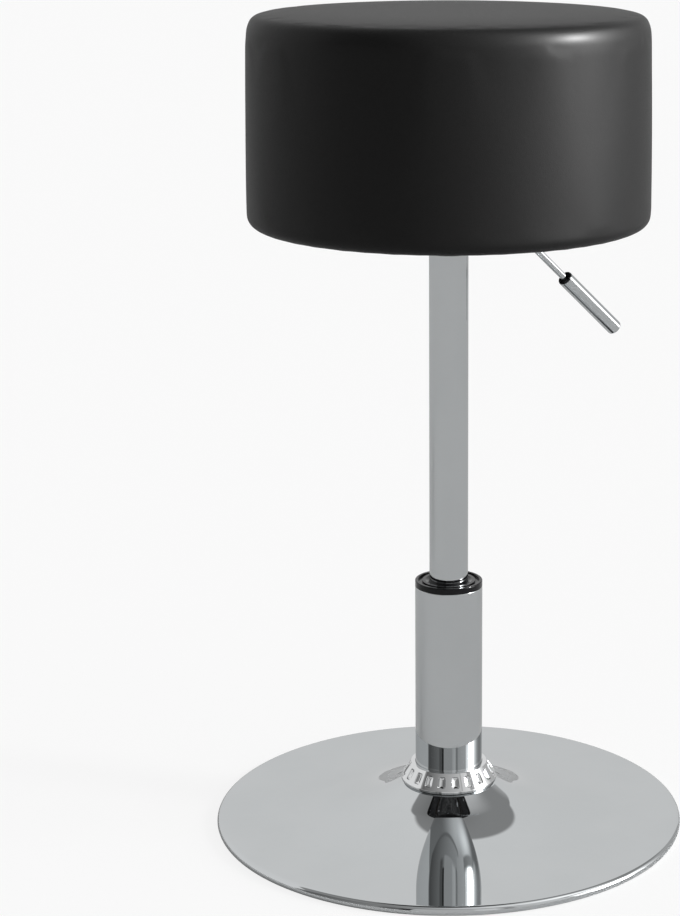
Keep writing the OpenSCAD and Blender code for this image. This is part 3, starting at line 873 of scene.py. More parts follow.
@dataclass
class BasePlate:
    """The pressed round plate with its trumpet-shaped middle and rolled rim."""

    radius: float = 0.1925
    rim_height: float = 0.008
    rim_gap: float = 0.0003
    sheet: float = 0.0016
    flat_radius: float = 0.165
    cone_radius: float = 0.058
    cone_height: float = 0.0228
    foot_slopes: tuple[Point, ...] = ((0.0394, 0.67), (0.044, 0.64), (0.050, 0.605), (0.0545, 0.54),
                                      (0.058, 0.42))
    foot_top: float = 0.0353
    hub_radius: float = 0.034
    hub_height: float = 0.0375
    hole_radius: float = 0.012
    lip: float = 0.0027
    columns: int = 384
    rows: int = 110
    row_growth: float = 1.3
    hub_lean: float = 0.3
    roll_steps: tuple[int, int] = (48, 16)

    def surface(self, at: float) -> Point:
        """Height and slope of the plate's top, at a distance from the axis.

        Args:
            at: Distance from the axis.

        Returns:
            The height and how steeply it falls outwards.
        """
        span = self.flat_radius - self.cone_radius
        share = (self.flat_radius - max(at, self.cone_radius)) / span
        rise = self.cone_height - self.rim_height
        height, slope = self.rim_height + rise * share ** 3, 3 * rise * share ** 2 / span
        spans = list(zip(self.foot_slopes, self.foot_slopes[1:]))
        for (inner, steep), (outer, flat) in reversed(spans):
            if at >= outer:
                break
            reach = max(at, inner)
            slope = steep + (flat - steep) * (reach - inner) / (outer - inner)
            height += (slope + flat) / 2 * (outer - reach)
        return height, slope

    def rise(self, depth: float) -> list[Point]:
        """Points from the hub out to the flat, at a depth below the top.

        Args:
            depth: Distance below the top surface.

        Returns:
            The points, from the hub outwards.
        """
        start = self.foot_slopes[0][0]
        points = [(self.hub_radius - self.hub_lean * depth, self.hub_height - depth),
                  (start - 2 * self.sheet, self.foot_top - depth)]
        for i in range(self.rows + 1):
            at = start + (self.flat_radius - start) * (i / self.rows) ** self.row_growth
            height, slope = self.surface(at)
            lean = math.atan(slope)
            points.append((at - depth * math.sin(lean), height - depth * math.cos(lean)))
        return points

    def make(self, shelf: Shelf) -> None:
        """Makes the plate.

        Args:
            shelf: The finished materials.
        """
        roll = (self.rim_height - self.rim_gap) / 2
        middle = (self.radius - roll, self.rim_height - roll)
        lip_at = self.radius - roll - self.lip
        profile = [(self.hole_radius, self.hub_height)] + self.rise(0.0)
        profile += arc(middle, roll, 90, -90, self.roll_steps[0])
        profile += [(lip_at, self.rim_gap), (lip_at, self.rim_gap + self.sheet)]
        profile += arc(middle, roll - self.sheet, -90, 90, self.roll_steps[1])
        profile += self.rise(self.sheet)[::-1] + [(self.hole_radius, self.hub_height - self.sheet)]
        plate = made("base_plate", turned(profile, self.columns))
        shelf.dress(plate, Slot.CHROME_PLATE, Body.BASE, "base_disc")


@dataclass
class Collar:
    """The conical trim ring with its row of sunk pockets."""

    lip_radius: float = 0.0394
    foot: float = 0.0355
    lip_height: float = 0.002
    top_radius: float = 0.0313
    top: float = 0.0504
    wall: float = 0.0024
    foot_width: float = 0.0015
    bore: float = 0.0277
    pockets: int = 20
    pocket_width: float = 0.006
    pocket_length: float = 0.0095
    pocket_depth: float = 0.0018
    pocket_corner: float = 0.0016
    pocket_wall: float = 0.0005
    dish: float = 0.5
    edge: float = 0.0003
    edge_fall: float = 0.2
    columns_per_pocket: int = 44
    cone_rows: int = 56

    def sunk(self, along: float, angle: float) -> float:
        """How deep a pocket is at a place on the cone.

        Args:
            along: Distance from the middle of the cone, up the slope.
            angle: Angle round the axis.

        Returns:
            The depth, 0 on the land between the pockets.
        """
        pitch = TAU / self.pockets
        turn = (angle + TAU / 4) % pitch - pitch / 2
        across = abs(turn) * (self.lip_radius + self.top_radius) / 2
        run = across - (self.pocket_width / 2 - self.pocket_corner)
        climb = abs(along) - (self.pocket_length / 2 - self.pocket_corner)
        outside = math.hypot(max(run, 0.0), max(climb, 0.0)) + min(max(run, climb), 0.0)
        inside = self.pocket_corner - outside
        floor = smoothstep(0.0, self.pocket_wall, inside)
        deeper = self.dish * smoothstep(0.0, self.pocket_width / 2, inside)
        return self.pocket_depth * floor * (1 - self.dish + deeper)

    def make(self, shelf: Shelf) -> None:
        """Makes the ring.

        Args:
            shelf: The finished materials.
        """
        lip_top = self.foot + self.lip_height
        run, rise = self.lip_radius - self.top_radius, self.top - lip_top
        lean = math.atan2(run, rise)
        length = math.hypot(run, rise)
        in_x, in_z = self.wall * math.cos(lean), self.wall * math.sin(lean)
        web = self.top - self.wall
        web_at = self.top_radius - in_x + (self.wall - in_z) * math.tan(lean)
        profile = [(self.lip_radius - self.foot_width, self.foot)]
        profile += arc((self.lip_radius - self.edge, self.foot + self.edge), self.edge, -90, 0, 4)
        profile += [(self.lip_radius, lip_top - self.edge)]
        first = len(profile)
        shares = [(i + 0.5) / self.cone_rows for i in range(self.cone_rows)]
        profile += [(self.lip_radius - run * share, lip_top + rise * share) for share in shares]
        profile += [(self.top_radius - self.edge, self.top - self.edge * self.edge_fall),
                    (self.top_radius - 2 * self.edge, self.top), (self.bore + self.edge, self.top),
                    (self.bore, self.top - self.edge), (self.bore, web), (web_at, web),
                    (self.lip_radius - in_x, lip_top - in_z)]

        def dent(row: int, angle: float) -> Point:
            """Shift of a point of the cone into its pocket.

            Args:
                row: Row of the section.
                angle: Angle round the axis.

            Returns:
                The shift outwards and upwards.
            """
            if not first <= row < first + self.cone_rows:
                return 0.0, 0.0
            depth = self.sunk((shares[row - first] - 0.5) * length, angle)
            return -depth * math.cos(lean), -depth * math.sin(lean)

        cone = turned(profile, self.pockets * self.columns_per_pocket, dent)
        ring = made("collar_ring", cone, sharp=40.0, weighted=False)
        # The collar takes the brighter copy of the plate's chrome: painted shine.
        shelf.dress(ring, Slot.CHROME_PLATE, Body.BASE, "slotted_collar", finish=shelf.bright)


@dataclass
class Column:
    """The outer tube and the bush that guides the lift in its top."""

    radius: float = 0.0276
    wall: float = 0.002
    foot: float = 0.0375
    top: float = 0.202
    edge: float = 0.0004
    flange: float = 0.005
    bush_edge: float = 0.0008
    rim_width: float = 0.00255
    groove: float = 0.0018
    ring_drop: float = 0.0002
    lip_drop: float = 0.00125
    bore: float = 0.01585
    sleeve_wall: float = 0.003
    bush_length: float = 0.06
    end_ring: float = 0.005
    fit: float = 0.0001
    soft: float = 0.00035
    ribs: int = 8
    rib_half_width: float = 0.0012
    columns: int = 256

    def make(self, shelf: Shelf) -> None:
        """Makes the tube and the bush.

        Args:
            shelf: The finished materials.
        """
        inner = self.radius - self.wall
        profile = [(inner, self.foot), (self.radius, self.foot)]
        profile += arc((self.radius - self.edge, self.top - self.edge), self.edge, 0, 90, 5)
        profile += [(inner, self.top)]
        tube = made("column_sleeve", turned(profile, self.columns))
        shelf.dress(tube, Slot.CHROME_TUBE, Body.BASE, "column_tube")
        shelf.dress(made("guide_ring", self.bush(inner)), Slot.PLASTIC, Body.BASE, "guide_bush")

    def bush(self, inner: float) -> Mesh:
        """The bush: rim, groove, raised ring, sloping lip and ribbed sleeve.

        Args:
            inner: Inner radius of the tube.

        Returns:
            The mesh.
        """
        top = self.top + self.flange
        sleeve = self.bore + self.sleeve_wall
        ring = sleeve + self.sleeve_wall
        rim = self.radius - self.rim_width
        floor = top - self.groove
        crest = top - self.ring_drop
        lip = top - self.lip_drop
        low = self.top - self.bush_length
        outer = inner - self.fit
        soft = self.soft
        rib_low, rib_high = low + self.end_ring, self.top - self.end_ring
        edge = self.bush_edge
        profile = [*arc((self.radius - edge, top - edge), edge, 0, 90, 8),
                   *arc((rim + soft, top - soft), soft, 90, 180, 4), (rim, floor), (ring, floor),
                   *arc((ring - soft, crest - soft), soft, 0, 90, 4),
                   *arc((sleeve + soft, crest - soft), soft, 90, 120, 2), (self.bore + edge, lip),
                   *arc((self.bore + soft, lip - 2 * soft), soft, 100, 180, 4),
                   (self.bore, low), (outer, low), (outer, rib_low), (sleeve, rib_low),
                   (sleeve, rib_high), (outer, rib_high), (outer, self.top),
                   (self.radius, self.top)]
        parts = [turned(profile, self.columns)]
        x, y = self.rib_half_width, (outer - sleeve) / 2
        section = [(-x, -y), (x, -y), (x, y), (-x, y)]
        for i in range(self.ribs):
            turn = Matrix.Rotation(TAU * i / self.ribs, 4, "Z")
            path = [turn @ Vector(((sleeve + outer) / 2, 0.0, z)) for z in (rib_low, rib_high)]
            parts.append(swept(path, section, turn @ Vector((0.0, 1.0, 0.0))))
        return joined(parts)


@dataclass
class GasLift:
    """The sliding cylinder of the gas lift and its taper socket."""

    radius: float = 0.0158
    wall: float = 0.0015
    bottom: float = 0.1513
    top: float = 0.5045
    taper_radius: float = 0.0141
    taper: float = 0.028
    neck_wall: float = 0.002
    cap: float = 0.004
    pin_bore: float = 0.00405
    crimp: float = 0.0012
    crimp_width: float = 0.0025
    edge: float = 0.0012
    socket_radius: float = 0.02
    socket_bottom: float = 0.4788
    socket_top: float = 0.5048
    socket_edge: float = 0.0008
    fit: float = 0.0001
    columns: int = 192

    def make(self, shelf: Shelf) -> None:
        """Makes the cylinder and its socket.

        Args:
            shelf: The finished materials.
        """
        bore = self.radius - self.wall
        waist = self.top - self.taper
        neck = self.taper_radius - self.neck_wall
        profile = [(bore - self.crimp_width, self.bottom)]
        profile += arc((self.radius - self.edge, self.bottom + self.edge), self.edge, -90, 0, 6)
        profile += [(self.radius, waist), (self.taper_radius, self.top), (self.pin_bore, self.top),
                    (self.pin_bore, self.top - self.cap), (neck, self.top - self.cap),
                    (neck, waist),
                    (bore, waist - self.neck_wall), (bore, self.bottom + self.crimp),
                    (bore - self.crimp_width, self.bottom + self.crimp)]
        tube = made("lift_tube", turned(profile, self.columns), sharp=40.0)
        shelf.dress(tube, Slot.CHROME_TUBE, Body.LIFT, "gas_cylinder")
        grow = (self.radius - self.taper_radius) / self.taper
        high_bore = self.taper_radius + self.fit
        soft = self.socket_edge
        profile = [(high_bore + (self.socket_top - self.socket_bottom) * grow, self.socket_bottom)]
        profile += arc((self.socket_radius - soft, self.socket_bottom + soft), soft, -90, 0, 5)
        profile += arc((self.socket_radius - soft, self.socket_top - soft), soft, 0, 90, 5)
        profile += [(high_bore, self.socket_top)]
        socket = made("socket_sleeve", turned(profile, self.columns))
        shelf.dress(socket, Slot.PAINTED, Body.LIFT, "taper_socket")


@dataclass
class Bracket:
    """The pressed pan under the seat with its flange and lever slot."""

    flange_radius: float = 0.085
    flange_top: float = 0.5202
    pan_radius: float = 0.06
    pan_bottom: float = 0.4885
    sheet: float = 0.0025
    corner: float = 0.004
    bore: float = 0.0201
    slot_width: float = 0.01
    slot_bottom: float = 0.493
    slot_top: float = 0.5135
    lever_azimuth: float = 36.0
    weld_radius: float = 0.0016
    bead_sizes: Point = (0.82, 1.12)
    columns: int = 240

    def make(self, shelf: Shelf) -> None:
        """Makes the pan and the weld round the socket.

        Args:
            shelf: The finished materials.
        """
        wall = self.pan_radius - self.sheet
        bend = self.corner - self.sheet
        knee = self.flange_top - self.sheet - self.corner
        out_low = (self.pan_radius - self.corner, self.pan_bottom + self.corner)
        out_high = (self.pan_radius + self.corner, knee)
        rim = self.flange_top - self.sheet
        profile = [(self.bore, self.pan_bottom), *arc(out_low, self.corner, -90, 0, 8),
                   (self.pan_radius, self.slot_bottom), (self.pan_radius, self.slot_top),
                   *arc(out_high, self.corner, 180, 90, 8), (self.flange_radius, rim),
                   (self.flange_radius, self.flange_top),
                   *arc(out_high, self.corner + self.sheet, 90, 180, 8),
                   (wall, self.slot_top), (wall, self.slot_bottom),
                   *arc((wall - bend, self.pan_bottom + self.corner), bend, 0, -90, 6),
                   (self.bore, self.pan_bottom + self.sheet)]
        bm = turned(profile, self.columns)
        self.cut_slot(bm)
        shelf.dress(made("bracket_pan", bm), Slot.PAINTED, Body.LIFT, "seat_bracket")
        rng = random.Random(7)
        beads = [rng.uniform(*self.bead_sizes) for _ in range(self.columns)]
        shape = arc((self.bore, self.pan_bottom), self.weld_radius, 0, 360, 12)[:-1]

        def ripple(row: int, angle: float) -> Point:
            """Shift of a point of the weld by its uneven beads.

            Args:
                row: Row of the section.
                angle: Angle round the axis.

            Returns:
                The shift outwards and upwards.
            """
            share = beads[int(angle / TAU * self.columns) % self.columns] - 1
            x, z = shape[row]
            return (x - self.bore) * share, (z - self.pan_bottom) * share

        weld = made("socket_weld", turned(shape, self.columns, ripple))
        shelf.dress(weld, Slot.PAINTED, Body.LIFT)

    def cut_slot(self, bm: Mesh) -> None:
        """Opens the slot for the lever through the pan's wall.

        Args:
            bm: The pan.
        """
        aim = math.radians(self.lever_azimuth)
        reach = math.asin(self.slot_width / 2 / self.pan_radius) + TAU / self.columns * 0.5
        middle = (self.slot_bottom + self.slot_top) / 2
        half = (self.slot_top - self.slot_bottom) / 2
        inside = []
        for face in bm.faces:
            at = face.calc_center_median()
            turn = (math.atan2(at.y, at.x) - aim + math.pi) % TAU - math.pi
            across = math.hypot(at.x, at.y)
            in_wall = abs(across - self.pan_radius + self.sheet / 2) < self.sheet
            if abs(turn) < reach and abs(at.z - middle) < half * 0.5 and in_wall:
                inside.append(face)
        bmesh.ops.delete(bm, geom=inside, context="FACES")
        rim = [edge for edge in bm.edges if edge.is_boundary]
        bmesh.ops.bridge_loops(bm, edges=rim)


@dataclass
class Lever:
    """The bent lever rod with its chromed handle and black liner."""

    azimuth: float = 36.0
    slope: float = 41.8
    rod_radius: float = 0.0029
    height: float = 0.5141
    bend_at: float = 0.042
    bend_radius: float = 0.0069
    pivot_at: float = 0.032
    eye_radius: float = 0.005
    eye_width: float = 0.007
    paddle_radius: float = 0.0055
    paddle_thickness: float = 0.004
    paddle_drop: float = 0.0004
    grip_start: float = 0.1031
    grip_length: float = 0.0741
    grip_radius: float = 0.0065
    grip_round: float = 0.002
    wall: float = 0.0007
    lip: float = 0.0009
    lip_in: float = 0.00035
    liner_length: float = 0.014
    rod_in_grip: float = 0.06
    fit: float = 0.0001
    soft: float = 0.00025
    eye_edge: float = 0.0005
    paddle_edge: float = 0.0006
    bend_steps: int = 12
    rod_columns: int = 64
    columns: int = 96

    def slope_place(self) -> Matrix:
        """Matrix that lays +Z along the sloping part of the rod, from its bend.

        Returns:
            The matrix.
        """
        return (Matrix.Rotation(math.radians(self.azimuth), 4, "Z")
                @ Matrix.Translation((self.bend_at, 0.0, self.height))
                @ Matrix.Rotation(math.radians(90 + self.slope), 4, "Y"))

    def make(self, shelf: Shelf) -> None:
        """Makes the rod, the handle and the liner.

        Args:
            shelf: The finished materials.
        """
        shelf.dress(made("lever_arm", self.rod()), Slot.CHROME_TUBE, Body.LEVER, "lever_rod")
        bore = self.grip_radius - self.wall
        start, end = self.grip_start, self.grip_start + self.grip_length
        mouth, liner_end = start + self.lip, start + self.liner_length
        tip, step = start + self.rod_in_grip + 3 * self.fit, liner_end + 3 * self.fit
        hole, inner = self.rod_radius + self.fit, bore - self.fit
        outer = self.grip_radius - self.lip_in
        soft, corner = self.soft, self.grip_round
        handle = [(bore, mouth), *arc((self.grip_radius - soft, mouth + soft), soft, -90, 0, 4),
                  *arc((self.grip_radius - corner, end - corner), corner, 0, 90, 14),
                  (0.0, end), (0.0, tip), (hole, tip), (hole, step), (bore, step)]
        liner = [(hole, start + soft), (hole + soft, start),
                 *arc((outer - soft, start + soft), soft, -90, 0, 4), (outer, mouth),
                 (inner, mouth), (inner, liner_end), (hole, liner_end)]
        for name, profile, slot, node in (("lever_handle", handle, Slot.CHROME_PLATE, "lever_grip"),
                                          ("handle_liner", liner, Slot.PLASTIC, "grip_liner")):
            bm = turned(profile, self.columns)
            bm.transform(self.slope_place())
            shelf.dress(made(name, bm), slot, Body.LEVER, node)

    def rod(self) -> Mesh:
        """The bent rod with its eye and the paddle over the valve pin.

        Returns:
            The mesh.
        """
        lean = math.radians(self.slope)
        run = self.bend_radius * math.tan(lean / 2)
        start, across = self.bend_at - run, Vector((0.0, 1.0, 0.0))
        path = [Vector((0.0, 0.0, self.height)), Vector((start, 0.0, self.height))]
        for i in range(1, self.bend_steps + 1):
            part = lean * i / self.bend_steps
            path.append(Vector((start + self.bend_radius * math.sin(part), 0.0,
                                self.height - self.bend_radius * (1 - math.cos(part)))))
        reach = self.grip_start + self.rod_in_grip - run
        path.append(path[-1] + Vector((math.cos(lean), 0.0, -math.sin(lean))) * reach)
        rod = swept(path, circle(self.rod_radius, self.rod_columns), across)
        half = across * (self.eye_width / 2)
        pivot = Vector((self.pivot_at, 0.0, self.height))
        eye = bar(pivot - half, pivot + half, self.eye_radius, self.eye_edge, self.rod_columns)
        low = Vector((0.0, 0.0, self.height - self.rod_radius - self.paddle_drop))
        paddle = bar(low, low + Vector((0.0, 0.0, self.paddle_thickness)), self.paddle_radius,
                     self.paddle_edge, self.rod_columns)
        whole = joined([rod, eye, paddle])
        whole.transform(Matrix.Rotation(math.radians(self.azimuth), 4, "Z"))
        return whole


@dataclass
class Seat:
    """The padded drum: leather cover, foam and the dust cloth under it."""

    low_radius: float = 0.1609
    low_radius_height: float = 0.53
    flare_start: float = -0.3
    bottom: float = 0.5016
    top: float = 0.6689
    crown: float = 0.003
    flat: float = 0.1478
    bend: float = 0.0102
    shoulder: float = 0.025
    lip: float = 7.0
    crown_power: int = 6
    shoulder_start: float = 25.0
    bottom_edge: float = 0.0098
    fold_lift: float = 0.0009
    leather: float = 0.0015
    foam_gap: float = 0.0003
    turn_in: float = 0.1257
    board_radius: float = 0.1507
    board_top: float = 0.5355
    slack: float = 0.0003
    pressure: float = 4.0
    reach: float = 0.0003
    sink: float = 0.0002
    frames: int = 20
    quality: int = 5
    weight: float = 0.3
    stretch: float = 25.0
    stiffness: float = 3.0
    crown_rings: int = 32
    side_rows: int = 32
    pleats: int = 44
    pleat_depth: float = 0.0007
    pleat_width: float = 0.03
    pleat_zone: float = 0.003
    pleat_starts: float = 0.004
    pleat_ends: float = 0.006
    foam_rows: int = 16
    foam_rings: int = 12
    foam_columns: int = 160
    cloth_inner: float = 0.098
    cloth_outer: float = 0.1407
    cloth_top: float = 0.5022
    cloth_thickness: float = 0.0008
    cloth_rows: int = 14
    cloth_sag: float = 0.0006
    sag_reach: float = 1.02
    staples: int = 24
    staple_circle: float = 0.1365
    staple_length: float = 0.010
    staple_wire: float = 0.0004
    staple_legs: float = 0.0012
    staple_bow: float = 0.96
    staple_sunk: float = 0.8

    def section(self, depth: float, steps: int) -> list[Point]:
        """The drum's outline from the edge of its flat top round to its underside.

        Args:
            depth: How far the outline is drawn in.
            steps: Rows of the side; the edges get their share.

        Returns:
            The points, top first.
        """
        bend_middle = (self.flat, self.top - self.bend)
        points = arc(bend_middle, self.bend - depth, 90 - self.lip, self.shoulder_start, 7)
        lean = math.radians(self.shoulder_start)
        past = self.bend - self.shoulder
        shoulder_middle = (bend_middle[0] + past * math.cos(lean),
                           bend_middle[1] + past * math.sin(lean))
        points += arc(shoulder_middle, self.shoulder - depth, self.shoulder_start, 0, 4)[1:]
        high, low = shoulder_middle[1], self.bottom + self.bottom_edge
        outer = shoulder_middle[0] + self.shoulder
        for i in range(1, steps):
            height = high + (low - high) * i / steps
            share = (high - height) / (high - self.low_radius_height)
            radius = outer + (self.low_radius - outer) * smoothstep(self.flare_start, 1.0, share)
            points.append((radius - depth, height))
        return points + arc((self.fold_radius(), low), self.bottom_edge - depth, 0, -90, 6)

    def crown_height(self, share: float, depth: float) -> float:
        """Height of the top at a share of the way from its middle to its edge."""
        return self.top - depth + self.crown * (1 - share ** self.crown_power)

    def skin(self, depth: float) -> Mesh:
        """One even sheet of squares over the drum, open under it.

        Args:
            depth: How far the sheet is drawn in from the finished cover.

        Returns:
            The mesh.
        """
        bm = bmesh.new()
        outline = self.section(depth, self.side_rows)
        flat = outline[0][0]
        half = self.crown_rings
        grid: dict[tuple[int, int], bmesh.types.BMVert] = {}
        for i in range(-half, half + 1):
            for j in range(-half, half + 1):
                share = max(abs(i), abs(j)) / half
                height = self.crown_height(share, depth)
                grid[i, j] = bm.verts.new(polar(flat * share, self.square_angle(i, j), height))
        for i in range(-half, half):
            for j in range(-half, half):
                bm.faces.new((grid[i, j], grid[i + 1, j], grid[i + 1, j + 1], grid[i, j + 1]))
        up, down = range(-half, half), range(half, -half, -1)
        around = [*((half, j) for j in up), *((i, half) for i in down),
                  *((-half, j) for j in down), *((i, -half) for i in up)]
        ring = [grid[key] for key in around]
        angles = [self.square_angle(*key) for key in around]
        fold = outline[-1]
        under_rows = 6
        under = [(fold[0] + (self.turn_in - fold[0]) * k / under_rows,
                  fold[1] + self.fold_lift * min(1.0, k / 2)) for k in range(1, under_rows + 1)]
        for radius, height in outline[1:] + under:
            following = [bm.verts.new(polar(radius, angle, height)) for angle in angles]
            bridge(bm, ring, following)
            ring = following
        return bm

    @staticmethod
    def square_angle(i: int, j: int) -> float:
        """Angle that spreads the cells of a square evenly round a circle.

        Args:
            i: Place across the square.
            j: Place up the square.

        Returns:
            The angle.
        """
        if i == 0 and j == 0:
            return 0.0
        if abs(i) >= abs(j):
            return math.pi / 4 * (j / i) + (0.0 if i > 0 else math.pi)
        return math.pi / 2 - math.pi / 4 * (i / j) + (0.0 if j > 0 else math.pi)

    def make(self, shelf: Shelf) -> None:
        """Makes the cover, the foam, the dust cloth and its staples.

        Args:
            shelf: The finished materials.
        """
        self.make_cover(shelf)
        self.make_foam(shelf)
        self.make_cloth(shelf)

    def make_cover(self, shelf: Shelf) -> None:
        """Makes the cover: a slightly small skin that the foam's pressure fills.

        Args:
            shelf: The finished materials.
        """
        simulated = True
        bm = self.skin(self.slack if simulated else 0.0)
        bm.verts.index_update()
        low, inside = self.bottom + self.pleat_starts, self.fold_radius()
        held = [v.index for v in bm.verts if v.co.z < low and v.co.xy.length < inside]
        cover = made("seat_upholstery", bm, sharp=80.0, weighted=False)
        if simulated:
            self.fill(cover, held)
        self.pleat(cover)
        solid = cover.modifiers.new("leather with its lining", "SOLIDIFY")
        solid.thickness = self.leather
        solid.offset = -1.0
        applied(cover)
        smooth = cover.modifiers.new("one subdivision", "SUBSURF")
        smooth.levels = smooth.render_levels = 1
        for face in cover.data.polygons:
            face.use_smooth = True
        shelf.dress(cover, Slot.LEATHER, Body.LIFT, "seat_cover")

    def fold_radius(self) -> float:
        """Radius where the cover lies flat under the seat."""
        return self.low_radius - self.bottom_edge

    def fill(self, cover: Piece, held: list[int]) -> None:
        """Lets cloth pressure fill the skin, and caps how far each point moves.

        The foam inside holds the skin, so a point may move out a little but hardly in.

        Args:
            cover: The skin.
            held: Indices of the vertices that are stapled down.
        """
        group = cover.vertex_groups.new(name="stapled")
        group.add(held, 1.0, "REPLACE")
        cloth = cover.modifiers.new("filling", "CLOTH")
        settings = cloth.settings
        settings.use_pressure = True
        settings.uniform_pressure_force = self.pressure
        settings.vertex_group_mass = "stapled"
        settings.effector_weights.gravity = 0.0
        settings.quality = self.quality
        settings.mass = self.weight
        settings.tension_stiffness = settings.compression_stiffness = self.stretch
        settings.bending_stiffness = self.stiffness
        cloth.point_cache.frame_start = 1
        cloth.point_cache.frame_end = self.frames
        start = [(v.co.copy(), v.normal.copy()) for v in cover.data.vertices]
        scene = bpy.context.scene
        for frame in range(1, self.frames + 1):
            scene.frame_set(frame)
        applied(cover)
        scene.frame_set(1)
        for vertex, (old, normal) in zip(cover.data.vertices, start):
            move = vertex.co - old
            out = move.dot(normal)
            along = move - normal * out
            if along.length > self.reach:
                along *= self.reach / along.length
            vertex.co = old + along + normal * min(self.reach, max(-self.sink, out))
        LOG.info("%s: filled by cloth pressure in %d frames", cover.name, self.frames)

    def pleat(self, cover: Piece) -> None:
        """Gathers the cover in small uneven pleats where it turns under the seat.

        Args:
            cover: The cover's sheet.
        """
        rng = random.Random(11)
        places = [TAU * (k + rng.uniform(-0.3, 0.3)) / self.pleats for k in range(self.pleats)]
        depths = [rng.uniform(0.5, 1.0) for _ in range(self.pleats)]
        inner, outer = self.cloth_outer, self.fold_radius() + self.pleat_starts
        for vertex in cover.data.vertices:
            at = vertex.co.xy.length
            if vertex.co.z > self.bottom + self.pleat_zone or not inner < at < outer:
                continue
            angle = math.atan2(vertex.co.y, vertex.co.x)
            fade = smoothstep(inner, inner + self.pleat_starts, at)
            fade *= 1 - smoothstep(outer - self.pleat_ends, outer, at)
            lift = 0.0
            for place, depth in zip(places, depths):
                turn = (angle - place + math.pi) % TAU - math.pi
                lift = max(lift, depth * math.exp(-(turn / self.pleat_width) ** 2))
            vertex.co.z -= self.pleat_depth * lift * fade

    def make_foam(self, shelf: Shelf) -> None:
        """Makes the foam block with its skirt over the edge of the board.

        Args:
            shelf: The finished materials.
        """
        gap, steps = self.foam_gap, self.foam_rings
        depth = self.leather + gap
        outline = self.section(depth, self.foam_rows)
        flat, skirt, board = outline[0][0], self.board_radius + gap, self.board_top + gap
        profile = [(flat * i / steps, self.crown_height(i / steps, depth)) for i in range(steps)]
        profile += outline + [(skirt, self.bottom + depth), (skirt, board), (0.0, board)]
        block = made("seat_filling", turned(profile, self.foam_columns))
        shelf.dress(block, Slot.FOAM, Body.LIFT, "seat_foam")

    def make_cloth(self, shelf: Shelf) -> None:
        """Makes the dust cloth, stretched and stapled round the recess.

        Args:
            shelf: The finished materials.
        """
        rows, width = self.cloth_rows, self.cloth_outer - self.cloth_inner
        radii = [self.cloth_inner + width * i / rows for i in range(rows + 1)]
        low = self.cloth_top - self.cloth_thickness
        rng = random.Random(3)
        waves = [rng.uniform(0.4, 1.0) for _ in range(self.staples)]
        profile = [(r, low) for r in radii] + [(r, self.cloth_top) for r in reversed(radii)]

        def sag(row: int, angle: float) -> Point:
            """Shift of a point of the cloth, which hangs a little between its staples.

            Args:
                row: Row of the section.
                angle: Angle round the axis.

            Returns:
                The shift outwards and upwards.
            """
            cell = angle / TAU * self.staples
            swell = math.sin(math.pi * (cell % 1.0)) ** 2 * waves[int(cell) % self.staples]
            share = min(1.0, self.sag_reach * (profile[row][0] - self.cloth_inner) / width)
            return 0.0, -self.cloth_sag * swell * math.sin(math.pi * share)

        ring = made("under_cloth", turned(profile, self.staples * 10, sag))
        cloth = shelf.dress(ring, Slot.CLOTH, Body.LIFT, "dust_cloth")
        staples = [self.staple(TAU * k / self.staples, low) for k in range(self.staples)]
        shelf.dress(made("cloth_staples", joined(staples)), Slot.ZINC, Body.LIFT)

    def staple(self, angle: float, cloth: float) -> Mesh:
        """A bent wire whose legs go up into the ring.

        Args:
            angle: Where it sits round the axis.
            cloth: Height of the cloth's underside.

        Returns:
            The mesh.
        """
        outwards = polar(1.0, angle)
        along = Vector((-outwards.y, outwards.x, 0.0)) * (self.staple_length / 2)
        middle = outwards * self.staple_circle
        middle.z = cloth - self.staple_wire * self.staple_sunk
        leg = Vector((0.0, 0.0, self.staple_legs))
        path = [middle - along + leg, middle - along * self.staple_bow,
                middle + along * self.staple_bow, middle + along + leg]
        return swept(path, circle(self.staple_wire, 10), outwards)


# The studio


@dataclass(frozen=True)
class Card:
    """A flat wall or card of the studio, seen by the stool's polished metal.

    Directions are in degrees. Facing runs from the camera's side towards +X, left and
    right are taken from the line straight ahead of the card, and top is its height there.
    """

    name: str
    facing: float
    left: float
    right: float
    top: float
    level_left: float
    level_right: float
    blur: float = 1.2


@dataclass(frozen=True)
class Glow:
    """A round patch of light on the studio's ceiling, fading to its edge."""

    azimuth: float
    elevation: float
    radius: float
    lift: float


@dataclass(frozen=True)
class Lamp:
    """A flat lamp that only gloss shows: its direction, distance, size and level."""

    name: str
    place: tuple[float, float]
    distance: float
    size: Point
    level: float


def heading(azimuth: float, elevation: float) -> Vector:
    """Direction from the stool, with the azimuth from the camera's side towards +X."""
    turn, lift = math.radians(azimuth), math.radians(elevation)
    return polar(math.cos(lift), turn - math.pi / 2, math.sin(lift))


